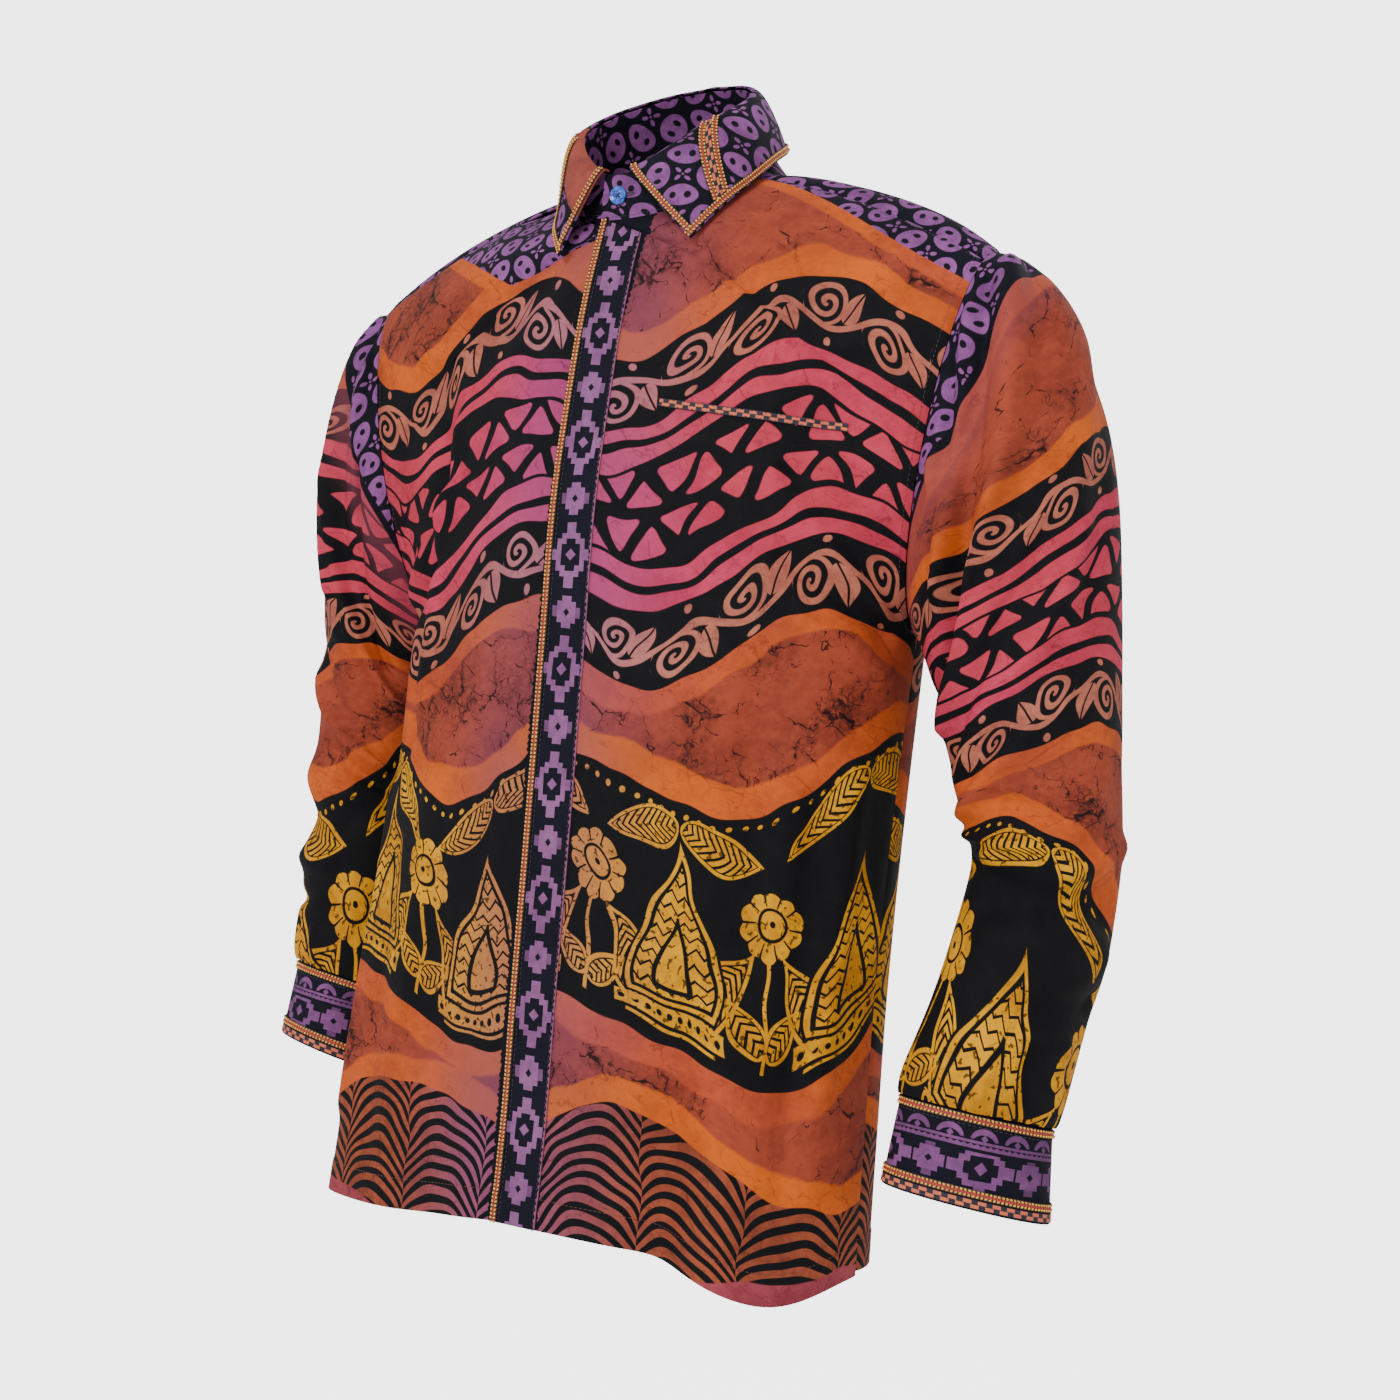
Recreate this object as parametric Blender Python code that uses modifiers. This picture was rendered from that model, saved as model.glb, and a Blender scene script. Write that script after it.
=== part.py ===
"""A men's long-sleeved batik shirt, in the form it takes when worn.

Metres, +Z up. The shirt faces -Y and +X is the wearer's left. The origin lies between
the shoulders, at the base of the neck. Each piece that is cut and sewn on is an object.
"""

import math

import bpy
import numpy as np
from mathutils import Matrix, Vector

SHIRT = "batik_shirt"
LEFT, RIGHT = 1, -1


def table(names, *rows):
    """Rows of numbers under named columns, as a dictionary of arrays."""
    return dict(zip(names.split(), np.array(rows, float).T))


# ---- sizes ----

CLOTH = 0.0014  # wall of every cloth piece
TRIM = 0.0010  # thickness of braids, tapes and the placket strip
GAP = 0.0003  # clearance where one piece lies on another
SEAM_GAP = 0.00035  # each edge stays this far back from its seam
LOOSE = 0.0007  # clearance under a strip that crosses a curved panel

NECK_Y = -0.014  # middle of the neck opening, front to back
NECK_HALF_WIDTH = 0.064
NECK_HALF_DEPTH = 0.062
NECK_Z = -0.0145  # height of the neck seam at the sides of the neck
NECK_SLOPE = 0.556  # the neck seam climbs towards the back
NECK_POINT = 84.0  # degrees from centre front to where the yoke seam meets the neck

FOLD_Y = -0.024  # middle of the ring where the collar folds over
FOLD_HALF_WIDTH = 0.058
FOLD_HALF_DEPTH = 0.055
STAND_INSET = 0.0030  # the stand's top lies this far inside and below the fold
LEAF_START, LEAF_END = 10.0, 351.0  # degrees of the leaf's two front edges
LEAF_BULGE = 0.010  # how far the leaf's side stands out below the fold
LEAF_WEIGHT = 0.8  # of the corner that pulls its side out

LAP = 0.0165  # each front runs this far past the centre line
LAP_DROP = CLOTH + 5 * GAP  # the right front lies this far under the left
PLACKET_WIDTH = 0.034
BRAID_WIDTH = 0.0048
TAPE_WIDTH = 0.0050
EDGE_INSET = 0.0004  # the collar's edge braid stays this far above the leaf's edge
BRAID_INSET = 0.0005  # and the placket's braid this far from the closing edge
TAPE_ANGLE = 36.0  # degrees either side of the front where the collar's tapes start
TAPE_SLANT = 1.7  # leaf columns that they lean back by on their way up
CUFF_START, CUFF_LAP = 250, 30  # degrees: where each cuff's under end is, and its lap
# Where a cuff's strips start, in metres below its top edge or, if negative, from its bottom one.
CUFF_STRIPS = {"braid_top": 0.0010, "braid_low": -0.0115, "tape": -0.0060}
SLEEVE_LENGTH, SLEEVE_RADIUS = 0.56, 0.055  # the sizes that the sleeves' folds are laid out on

BUTTON_RADIUS = 0.0060
BUTTON_DROP = 0.48  # of the way down the stand's front: the neck button
BUTTON_PROFILE = table(
    "radius height",  # radii in shares of the button's own
    (0.00, 0.0000),
    (0.80, 0.0000),
    (1.00, 0.0007),
    (1.00, 0.0018),
    (0.88, 0.0024),
    (0.70, 0.0017),
    (0.00, 0.0017),
)

# Rows and columns of the pieces' grids.
TURN_STEP = 20  # degrees between grid points round an armhole, a sleeve or a cuff
YOKE_FRONT = 20  # degrees round the armhole from its top to the yoke's front seam
YOKE_BACK = 60  # and to its back seam
ROWS_TO_PIT = 14
NECK_ROWS = 4
FRONT_SPACING = 0.0245  # between grid columns of a front, past the placket
FRONT_COLUMNS = 10
FRONT_SAMPLES = 81  # points that a front's row is measured at before it is spaced out
YOKE_SEAM_COLUMNS = 6
YOKE_NECK_COLUMNS = 10
YOKE_SEAM_SHARE = 0.33  # of the yoke's width: each of its two front seams
YOKE_ROWS = (YOKE_FRONT + YOKE_BACK) // TURN_STEP
FRONT_ROWS_ABOVE = (180 - YOKE_FRONT) // TURN_STEP
BACK_ROWS_ABOVE = (180 - YOKE_BACK) // TURN_STEP
SLEEVE_ROWS = 27
CUFF_ROWS = 2
STAND_ROWS = 2
LEAF_ROWS, LEAF_COLUMNS = 4, 31
LEAF_FALL = 2  # the leaf's row where it turns down, past its roll
POCKET_POINTS = 20
RISER_POINTS = 13

PIT_SHARE = 0.56  # of the way up a front: the armpit
NECK_SHARE = PIT_SHARE + (1 - PIT_SHARE) * (FRONT_ROWS_ABOVE - NECK_ROWS) / FRONT_ROWS_ABOVE
BACK_PIT_SHARE = 0.68

CENTRE_FRONT = table(
    "z x y",
    (-0.672, -0.013, -0.143),
    (-0.610, -0.009, -0.140),
    (-0.530, -0.006, -0.137),
    (-0.450, -0.003, -0.133),
    (-0.390, -0.001, -0.130),
    (-0.307, 0.000, -0.124),
    (-0.226, 0.001, -0.118),
    (-0.160, 0.002, -0.107),
    (-0.100, 0.003, -0.094),
    (-0.049, 0.003, -0.0765),
)
CENTRE_BACK = table(
    "z x y",
    (-0.690, -0.018, 0.056),
    (-0.600, -0.014, 0.058),
    (-0.500, -0.010, 0.064),
    (-0.400, -0.006, 0.074),
    (-0.300, -0.005, 0.084),
    (-0.200, -0.004, 0.091),
    (-0.120, -0.004, 0.084),
)

# Side seams from the hem to the armpit; the right side flares at the hem.
SIDE_SEAM = {
    LEFT: table(
        "x y z",
        (0.166, -0.034, -0.694),
        (0.168, -0.030, -0.617),
        (0.169, -0.024, -0.539),
        (0.172, -0.018, -0.462),
        (0.176, -0.010, -0.384),
        (0.182, -0.003, -0.307),
    ),
    RIGHT: table(
        "x y z",
        (-0.196, -0.047, -0.680),
        (-0.192, -0.041, -0.605),
        (-0.187, -0.033, -0.531),
        (-0.183, -0.024, -0.456),
        (-0.183, -0.012, -0.382),
        (-0.190, -0.005, -0.307),
    ),
}

# Armhole loops: the top and the armpit (x, z), and how far each half reaches.
ARMHOLE = {
    LEFT: dict(top=(0.230, -0.075), pit=(0.182, -0.307), y=-0.003, front=0.044, back=0.058),
    RIGHT: dict(top=(-0.236, -0.077), pit=(-0.190, -0.307), y=-0.005, front=0.044, back=0.058),
}

# How a row bows between its two edges: the corner's place across the row, how far it
# stands out from the middle edge, and its share of the row's drop.
FRONT_BOW = table(
    "share across out high weight",
    (0.00, 1.00, 0.002, 0.50, 0.95),
    (0.30, 1.00, 0.002, 0.50, 0.95),
    (0.56, 0.97, 0.004, 0.45, 0.85),
    (0.68, 0.80, 0.008, 0.25, 0.75),
    (0.78, 0.64, 0.012, 0.22, 0.70),
    (1.00, 0.45, 0.000, 0.12, 0.70),
)
# The right front flares at the hem: how far its rows' corners move out sideways there.
FLARE = {LEFT: 0.0, RIGHT: 0.058}
BACK_BOW = table(
    "share across out high weight",
    (0.00, 1.00, 0.004, 0.50, 0.80),
    (0.40, 1.00, 0.004, 0.50, 0.80),
    (0.68, 0.96, 0.004, 0.45, 0.80),
    (1.00, 0.80, 0.010, 0.25, 0.75),
)
# How much of the armhole's own roundness the yoke keeps on its way to the centre back.
YOKE_BOW = table("s bow", (0, 1.0), (0.1, 1.3), (0.2, 1.4), (0.33, 1.3), (0.42, 0.6), (0.5, 0.3))

# Folds of the fronts in metres from the closing edge and above the hem.
FRONT_FOLDS = {
    LEFT: table(
        "across0 up0 across1 up1 width height",
        (0.150, -0.02, 0.142, 0.13, 0.022, 0.008),
        (0.112, -0.02, 0.114, 0.13, 0.020, -0.011),
    ),
    RIGHT: table(
        "across0 up0 across1 up1 width height",
        (0.148, 0.32, 0.146, 0.50, 0.010, 0.005),
        (0.168, 0.30, 0.166, 0.50, 0.012, -0.007),
        (0.090, -0.02, 0.100, 0.16, 0.026, -0.005),
    ),
}
# Where the hem dips: metres from the closing edge, width and depth of the dip.
HEM_DIP = {LEFT: (0.180, 0.050, 0.022), RIGHT: (0.120, 0.050, 0.002)}
DIP_HEIGHT = 0.20

# The two ends of the pocket's taped edge, on the left front.
POCKET_X = 0.053, 0.163
POCKET_Z = -0.172, -0.188

# Sleeve rings from the armhole to the cuff: outer and inner edge of each ring, half
# its depth from front to back, and how far its front stands above its middle.
SLEEVE = {
    LEFT: table(
        "outer_x outer_y outer_z inner_x inner_y inner_z depth rise",
        (0.256, -0.002, -0.087, 0.188, -0.003, -0.315, 0.056, 0.000),
        (0.280, -0.001, -0.116, 0.194, -0.004, -0.326, 0.061, 0.000),
        (0.296, 0.001, -0.162, 0.199, -0.005, -0.338, 0.063, 0.000),
        (0.306, 0.003, -0.220, 0.204, -0.006, -0.354, 0.063, 0.000),
        (0.310, 0.005, -0.285, 0.210, -0.008, -0.376, 0.061, 0.000),
        (0.312, 0.006, -0.346, 0.217, -0.010, -0.402, 0.059, 0.000),
        (0.314, 0.007, -0.400, 0.227, -0.012, -0.428, 0.057, 0.002),
        (0.315, 0.006, -0.446, 0.230, -0.016, -0.448, 0.055, 0.004),
        (0.311, 0.000, -0.498, 0.224, -0.028, -0.488, 0.050, 0.006),
        (0.302, -0.009, -0.542, 0.219, -0.046, -0.526, 0.045, 0.006),
        (0.295, -0.016, -0.580, 0.211, -0.062, -0.562, 0.039, 0.004),
        (0.291, -0.019, -0.596, 0.211, -0.069, -0.577, 0.032, 0.002),
    ),
    RIGHT: table(
        "outer_x outer_y outer_z inner_x inner_y inner_z depth rise",
        (-0.250, 0.000, -0.092, -0.195, -0.003, -0.315, 0.055, 0.000),
        (-0.264, 0.004, -0.122, -0.199, -0.001, -0.326, 0.058, 0.000),
        (-0.277, 0.008, -0.168, -0.202, 0.001, -0.338, 0.059, 0.000),
        (-0.284, 0.011, -0.225, -0.203, 0.004, -0.354, 0.059, 0.000),
        (-0.287, 0.012, -0.285, -0.203, 0.006, -0.376, 0.058, 0.000),
        (-0.290, 0.012, -0.344, -0.202, 0.006, -0.400, 0.056, 0.002),
        (-0.292, 0.009, -0.396, -0.202, 0.003, -0.424, 0.055, 0.006),
        (-0.291, 0.002, -0.440, -0.203, -0.006, -0.444, 0.053, 0.010),
        (-0.284, -0.010, -0.482, -0.200, -0.019, -0.482, 0.050, 0.013),
        (-0.281, -0.021, -0.509, -0.199, -0.032, -0.516, 0.045, 0.013),
        (-0.281, -0.029, -0.528, -0.200, -0.041, -0.540, 0.039, 0.010),
        (-0.281, -0.033, -0.538, -0.203, -0.045, -0.551, 0.032, 0.008),
    ),
}
# Cuff rings, at its top and bottom edge.
CUFF = {
    LEFT: table(
        "outer_x outer_y outer_z inner_x inner_y inner_z depth rise",
        (0.291, -0.019, -0.596, 0.211, -0.069, -0.577, 0.032, 0.002),
        (0.296, -0.031, -0.649, 0.208, -0.085, -0.627, 0.034, 0.002),
    ),
    RIGHT: table(
        "outer_x outer_y outer_z inner_x inner_y inner_z depth rise",
        (-0.281, -0.033, -0.538, -0.203, -0.045, -0.551, 0.032, 0.008),
        (-0.283, -0.044, -0.588, -0.203, -0.058, -0.604, 0.034, 0.010),
    ),
}

# Folds of the sleeves, in degrees round the ring (0 outside, 90 in front) and in
# shares of the way from the armhole to the cuff.
SLEEVE_FOLDS = {
    LEFT: table(
        "turn0 down0 turn1 down1 width height",
        (30, 0.08, 95, 0.36, 0.020, 0.005),
        (75, 0.10, 125, 0.32, 0.018, -0.006),
        (120, 0.26, 175, 0.36, 0.018, -0.005),
        (40, 0.60, 120, 0.65, 0.016, 0.005),
        (20, 0.700, 120, 0.705, 0.014, -0.008),
        (20, 0.745, 110, 0.750, 0.014, 0.005),
    ),
    RIGHT: table(
        "turn0 down0 turn1 down1 width height",
        (40, 0.10, 100, 0.36, 0.020, 0.005),
        (80, 0.12, 130, 0.34, 0.018, -0.005),
        (20, 0.60, 110, 0.62, 0.016, 0.005),
        (20, 0.67, 110, 0.68, 0.015, -0.006),
    ),
}

# The collar's fold line, by degrees either way from centre front.
FOLD_LINE = table(
    "angle z",
    (0, -0.0175),
    (15, -0.0155),
    (35, -0.0040),
    (58, 0.0120),
    (90, 0.0290),
    (120, 0.0430),
    (150, 0.0530),
    (180, 0.0570),
)
# The leaf's lower edge, from the left collar point round the back to the right one.
LEAF_EDGE = table(
    "angle x y z",
    (10, 0.0600, -0.0830, -0.0665),
    (26, 0.0668, -0.0745, -0.0545),
    (45, 0.0722, -0.0595, -0.0405),
    (65, 0.0750, -0.0385, -0.0260),
    (90, 0.0745, -0.0125, -0.0095),
    (120, 0.0650, 0.0200, 0.0050),
    (150, 0.0380, 0.0470, 0.0130),
    (180, 0.0000, 0.0570, 0.0140),
    (210, -0.0380, 0.0470, 0.0130),
    (240, -0.0650, 0.0200, 0.0050),
    (270, -0.0745, -0.0125, -0.0095),
    (295, -0.0705, -0.0400, -0.0245),
    (316, -0.0600, -0.0585, -0.0395),
    (336, -0.0515, -0.0745, -0.0550),
    (351, -0.0410, -0.0835, -0.0700),
)
# How the leaf rolls over its fold, from the inside: metres out from and below the fold line.
LEAF_ROLL = table("out down", (-0.0036, 0.0004), (-0.0012, -0.0003), (0.0008, 0.0004))


def smooth(knots, values, at):
    """Values on a smooth curve through a table's rows, at any place between its knots."""
    knots, values = np.asarray(knots, float), np.asarray(values, float)
    slopes = np.gradient(values, knots, axis=0)
    row = int(np.clip(np.searchsorted(knots, at) - 1, 0, len(knots) - 2))
    span = knots[row + 1] - knots[row]
    f = (at - knots[row]) / span
    return (
        values[row] * (1 + 2 * f) * (1 - f) ** 2
        + values[row + 1] * f * f * (3 - 2 * f)
        + slopes[row] * span * f * (1 - f) ** 2
        - slopes[row + 1] * span * f * f * (1 - f)
    )


def row_of(rows, knots, at, names="x y z"):
    """Several columns of a table at once, at any place between its knots."""
    return smooth(knots, np.stack([rows[name] for name in names.split()], axis=-1), at)


def ramp(value, start, end):
    """0 before start, 1 after end, with a smooth change between them."""
    f = np.clip((value - start) / (end - start), 0.0, 1.0)
    return f * f * (3 - 2 * f)


def conic(start, corner, end, weight, s):
    """A point on the arc from start to end that a corner pulls outwards."""
    a, b, c = (1 - s) ** 2, 2 * weight * s * (1 - s), s * s
    return (a * start + b * corner + c * end) / (a + b + c)


def unit(vectors):
    return vectors / np.linalg.norm(vectors, axis=-1, keepdims=True)


# ---- seams that pieces share ----


def neck_seam(angle):
    """On the neck seam, in degrees from centre front towards the wearer's left."""
    a = math.radians(angle)
    y = NECK_Y - NECK_HALF_DEPTH * math.cos(a)
    return np.array([NECK_HALF_WIDTH * math.sin(a), y, NECK_Z + NECK_SLOPE * (y - NECK_Y)])


def neck_corner(side):
    """The angle on the neck seam where a front's closing edge ends."""
    return math.degrees(math.asin((CENTRE_FRONT["x"][-1] - side * LAP) / NECK_HALF_WIDTH))


def armhole(side, turn):
    """On the armhole seam, in degrees from its top: towards the front, or negative, the back."""
    loop = ARMHOLE[side]
    a = math.radians(turn)
    pit, top = np.array(loop["pit"]), np.array(loop["top"])
    x, z = pit + (top - pit) * (1 + math.cos(a)) / 2
    reach = -loop["front"] if turn > 0 else loop["back"]
    return np.array([x, loop["y"] + reach * abs(math.sin(a)), z])


def centre_line(rows, z):
    x, y = row_of(rows, rows["z"], z, "x y")
    return np.array([x, y, z])


def side_seam(side, share):
    rows = SIDE_SEAM[side]
    return row_of(rows, np.linspace(0, 1, len(rows["x"])), share)


# ---- the body's cloth, before its folds ----


def front_inner(side, share):
    """A front's closing edge, then its part of the neck seam."""
    corner = neck_corner(side)
    if share > NECK_SHARE:
        f = (share - NECK_SHARE) / (1 - NECK_SHARE)
        return neck_seam(corner + f * (side * NECK_POINT - corner))
    hem_z, top_z = CENTRE_FRONT["z"][[0, -1]]
    pit_z = ARMHOLE[side]["pit"][1]
    z = np.interp(share, (0, PIT_SHARE, NECK_SHARE), (hem_z, pit_z, top_z))
    point = centre_line(CENTRE_FRONT, z) - (side * LAP, 0, 0)
    top = centre_line(CENTRE_FRONT, top_z) - (side * LAP, 0, 0)
    return point + (neck_seam(corner) - top) * ramp(share, PIT_SHARE, NECK_SHARE)


def front_outer(side, share):
    """A front's side seam, then its part of the armhole."""
    if share <= PIT_SHARE:
        return side_seam(side, share / PIT_SHARE)
    return armhole(side, np.interp(share, (PIT_SHARE, 1), (180, YOKE_FRONT)))


def front_point(side, share, s):
    """A front's cloth: s runs from the closing edge to the side."""
    inner, outer = front_inner(side, share), front_outer(side, share)
    across, out, high, weight = row_of(FRONT_BOW, FRONT_BOW["share"], share, "across out high weight")
    corner = inner + (outer - inner) * (across, 0, high) - (0, out, 0)
    corner[0] += side * FLARE[side] * max(0, 1 - share / PIT_SHARE)
    return conic(inner, corner, outer, weight, s)


def back_outer(side, share):
    if share <= BACK_PIT_SHARE:
        return side_seam(side, share / BACK_PIT_SHARE)
    return armhole(side, -np.interp(share, (BACK_PIT_SHARE, 1), (180, YOKE_BACK)))


def back_point(share, s):
    """The back's cloth: s runs from the wearer's left edge to the right one."""
    hem_z, top_z = CENTRE_BACK["z"][[0, -1]]
    middle = centre_line(CENTRE_BACK, hem_z + (top_z - hem_z) * share)
    edge = back_outer(LEFT if s < 0.5 else RIGHT, share)
    across, out, high, weight = row_of(BACK_BOW, BACK_BOW["share"], share, "across out high weight")
    corner = middle + (edge - middle) * (across, 0, high) + (0, out, 0)
    return conic(middle, corner, edge, weight, abs(2 * s - 1))


def yoke_columns():
    """For each column of the yoke: its s, and its point on the front seams and the neck."""
    seam = np.linspace(0, 1, YOKE_SEAM_COLUMNS + 1)
    neck = np.linspace(NECK_POINT, 360 - NECK_POINT, YOKE_NECK_COLUMNS + 1)
    left = [front_point(LEFT, 1, 1 - f) for f in seam[:-1]]
    right = [front_point(RIGHT, 1, f) for f in seam[1:]]
    points = left + [neck_seam(angle) for angle in neck] + right
    sides = YOKE_SEAM_SHARE * seam[:-1]
    middle = np.linspace(YOKE_SEAM_SHARE, 1 - YOKE_SEAM_SHARE, len(neck))
    s = np.concatenate([sides, middle, 1 - sides[::-1]])
    return s, np.array(points)


def yoke_grid():
    """Rows from the back seam over the shoulders to the front seams and the neck."""
    columns, tops = yoke_columns()
    turns = np.linspace(-YOKE_BACK, YOKE_FRONT, YOKE_ROWS + 1)
    grid = np.zeros((len(turns), len(columns), 3))
    for column, (s, top) in enumerate(zip(columns, tops)):
        side = LEFT if s < 0.5 else RIGHT
        arc = np.array([armhole(side, turn) for turn in turns])
        f = np.linspace(0, 1, len(turns))[:, None]
        roundness = arc - (arc[0] + f * (arc[-1] - arc[0]))
        bow = smooth(YOKE_BOW["s"], YOKE_BOW["bow"], min(s, 1 - s))
        low = back_point(1, s)
        grid[:, column] = low + f * (top - low) + bow * roundness
    return grid


# ---- folds ----


def grid_normals(grid, facing, closed=False):
    """Outward normals; facing is 1 where columns and rows turn right-handed about them."""
    if closed:
        padded = np.concatenate([grid[:, -1:], grid, grid[:, :1]], axis=1)
        d_across = (padded[:, 2:] - padded[:, :-2]) / 2
    else:
        d_across = np.gradient(grid, axis=1)
    return facing * unit(np.cross(d_across, np.gradient(grid, axis=0)))


def lengths(grid, axis):
    """Metres run along the cloth from its first row or column."""
    steps = np.linalg.norm(np.diff(grid, axis=axis), axis=-1)
    start = np.zeros_like(np.take(steps, [0], axis=axis))
    return np.cumsum(np.concatenate([start, steps], axis=axis), axis=axis)


def fold_height(start, end, width, height, u, v, turn_radius=None):
    """Height of one fold: a ridge, or with a negative height a trough, along a line."""
    du, dv = u - start[0], v - start[1]
    run = np.subtract(end, start)
    if turn_radius is not None:
        du = (du + 180) % 360 - 180
        du, run = np.radians(du) * turn_radius, np.array([math.radians(run[0]) * turn_radius, run[1]])
    f = np.clip((du * run[0] + dv * run[1]) / (run @ run), 0, 1)
    distance = np.hypot(du - f * run[0], dv - f * run[1])
    return height * np.exp(-((distance / width) ** 2))


def panel_shares(pit, rows_above):
    """Shares of the way up a panel for its rows: to the armpit, then above it."""
    return np.concatenate([np.linspace(0, pit, ROWS_TO_PIT + 1), np.linspace(pit, 1, rows_above + 1)[1:]])


def front_grid(side):
    """A front with its folds; its first two columns lie under the placket's width."""
    grid = []
    for share in panel_shares(PIT_SHARE, FRONT_ROWS_ABOVE):
        row = np.array([front_point(side, share, s) for s in np.linspace(0, 1, FRONT_SAMPLES)])
        run = lengths(row, 0)
        rest = np.linspace(PLACKET_WIDTH, run[-1], FRONT_COLUMNS - 1)
        stops = np.concatenate([[0, PLACKET_WIDTH / 2], rest])
        grid.append([[np.interp(stop, run, row[:, k]) for k in range(3)] for stop in stops])
    grid = np.array(grid)
    across, up = lengths(grid, 1), lengths(grid, 0)
    normals = grid_normals(grid, side)
    rise = np.zeros(grid.shape[:2])
    for a0, u0, a1, u1, width, height in zip(*FRONT_FOLDS[side].values()):
        rise += fold_height((a0, u0), (a1, u1), width, height, across, up)
    rise *= ramp(across[:, -1:] - across, 0.0, 0.03)  # no fold at the side seam
    if side == RIGHT:  # it passes under the left front
        rise -= LAP_DROP * (1 - ramp(across, 2 * LAP, 4 * LAP))
    spot, width, depth = HEM_DIP[side]
    dip = depth * np.exp(-(((across - spot) / width) ** 2)) * (1 - ramp(up, 0, DIP_HEIGHT))
    return grid + normals * rise[..., None] - dip[..., None] * (0, 0, 1)


def back_grid():
    shares = panel_shares(BACK_PIT_SHARE, BACK_ROWS_ABOVE)
    columns, _ = yoke_columns()
    return np.array([[back_point(share, s) for s in columns] for share in shares])


def ring_point(row, turn):
    """On a sleeve or cuff ring: 0 degrees is its outer edge and 90 its front."""
    outer, inner = np.array(row[0:3]), np.array(row[3:6])
    depth, rise = row[6:8]
    middle, reach = (outer + inner) / 2, (outer - inner) / 2
    level = unit(np.array([reach[0], reach[1], 0]))
    forward = np.array([level[1], -level[0], 0]) * np.sign(level[0])
    a = math.radians(turn)
    return middle + reach * math.cos(a) + (forward * depth + (0, 0, rise)) * math.sin(a)


def ring_rows(rows):
    return np.stack(list(rows.values()), axis=-1)


def sleeve_grid(side):
    """Rows from the armhole to the cuff, columns round the arm from its outer side."""
    turns = np.arange(0, 360, TURN_STEP)
    rings = ring_rows(SLEEVE[side])
    stations = np.linspace(0, len(rings), SLEEVE_ROWS + 1)
    grid = np.zeros((len(stations), len(turns), 3))
    for column, turn in enumerate(turns):
        seam = armhole(side, turn if turn <= 180 else turn - 360)
        line = np.array([seam] + [ring_point(row, turn) for row in rings])
        grid[:, column] = [smooth(np.arange(len(line)), line, at) for at in stations]
    down = np.linspace(0, 1, len(stations))[:, None] * np.ones(len(turns))
    normals = grid_normals(grid, side, closed=True)
    rise = np.zeros(grid.shape[:2])
    for t0, d0, t1, d1, width, height in zip(*SLEEVE_FOLDS[side].values()):
        ends = (t0, d0 * SLEEVE_LENGTH), (t1, d1 * SLEEVE_LENGTH)
        rise += fold_height(*ends, width, height, turns[None, :], down * SLEEVE_LENGTH, SLEEVE_RADIUS)
    rise *= ramp(down, 0.0, 0.08) * (1 - ramp(down, 0.95, 1.0))  # no fold at the seams
    return grid + normals * rise[..., None]


# ---- meshes ----


def material(name, colour, roughness=0.75, metallic=0.0):
    made = bpy.data.materials.new(name)
    made.use_nodes = True
    shader = made.node_tree.nodes["Principled BSDF"]
    shader.inputs["Base Color"].default_value = (*colour, 1)
    shader.inputs["Roughness"].default_value = roughness
    shader.inputs["Metallic"].default_value = metallic
    made.diffuse_color = (*colour, 1)
    return made


def place(obj, finish):
    shirt.objects.link(obj)
    obj.data.materials.append(finish)
    return obj


def cloth_piece(name, grid, thickness, finish, facing=1, closed=False):
    """A wall on the inner side of a grid of points, as one named object."""
    rows, columns = grid.shape[:2]
    faces = []
    for i in range(rows - 1):
        for j in range(columns if closed else columns - 1):
            k = (j + 1) % columns
            low, high = i * columns, (i + 1) * columns
            corners = [low + j, low + k, high + k, high + j]
            faces.append(corners if facing > 0 else [low + j, high + j, high + k, low + k])
    mesh = bpy.data.meshes.new(name)
    mesh.from_pydata([tuple(point) for point in grid.reshape(-1, 3)], [], faces)
    mesh.shade_smooth()
    obj = place(bpy.data.objects.new(name, mesh), finish)
    wall = obj.modifiers.new("wall", "SOLIDIFY")
    wall.thickness = thickness
    wall.offset = -1
    wall.use_even_offset = True
    return obj


def pulled_back(grid, low=0.0, high=0.0, first=0.0, last=0.0):
    """The grid with its edges drawn back along the cloth, to leave room at a seam."""
    grid = grid.copy()
    grid[0] += low * unit(grid[1] - grid[0])
    grid[-1] += high * unit(grid[-2] - grid[-1])
    grid[:, 0] += first * unit(grid[:, 1] - grid[:, 0])
    grid[:, -1] += last * unit(grid[:, -2] - grid[:, -1])
    return grid


def cuff_grid(side):
    """A band that overlaps itself at the back of the wrist, its first end underneath."""
    turns = np.arange(CUFF_START, CUFF_START + 360 + CUFF_LAP + 1, TURN_STEP / 2)
    top, bottom = (np.array([ring_point(row, turn) for turn in turns]) for row in ring_rows(CUFF[side]))
    grid = np.array([top + (bottom - top) * f for f in np.linspace(0, 1, CUFF_ROWS + 1)])
    lift = LAP_DROP * (ramp(turns, turns[-1] - 2 * CUFF_LAP, turns[-1] - CUFF_LAP) - 1)
    return grid + grid_normals(grid, side) * lift[None, :, None]


def neck_ring():
    """The fronts' and the yoke's own neck seam, from the left front's edge round the back."""
    corner = ROWS_TO_PIT + FRONT_ROWS_ABOVE - NECK_ROWS
    yoke_neck = yoke_grid()[-1, YOKE_SEAM_COLUMNS + 1 : YOKE_SEAM_COLUMNS + YOKE_NECK_COLUMNS]
    left, right = (fronts[side][corner:, 0] for side in (LEFT, RIGHT))
    angles = np.linspace(neck_corner(LEFT), NECK_POINT, NECK_ROWS + 1)
    round_back = np.linspace(NECK_POINT, 360 - NECK_POINT, YOKE_NECK_COLUMNS + 1)[1:-1]
    last = np.linspace(360 - NECK_POINT, 360 + neck_corner(RIGHT), NECK_ROWS + 1)
    return np.concatenate([angles, round_back, last]), np.concatenate([left, yoke_neck, right[::-1]])


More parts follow.
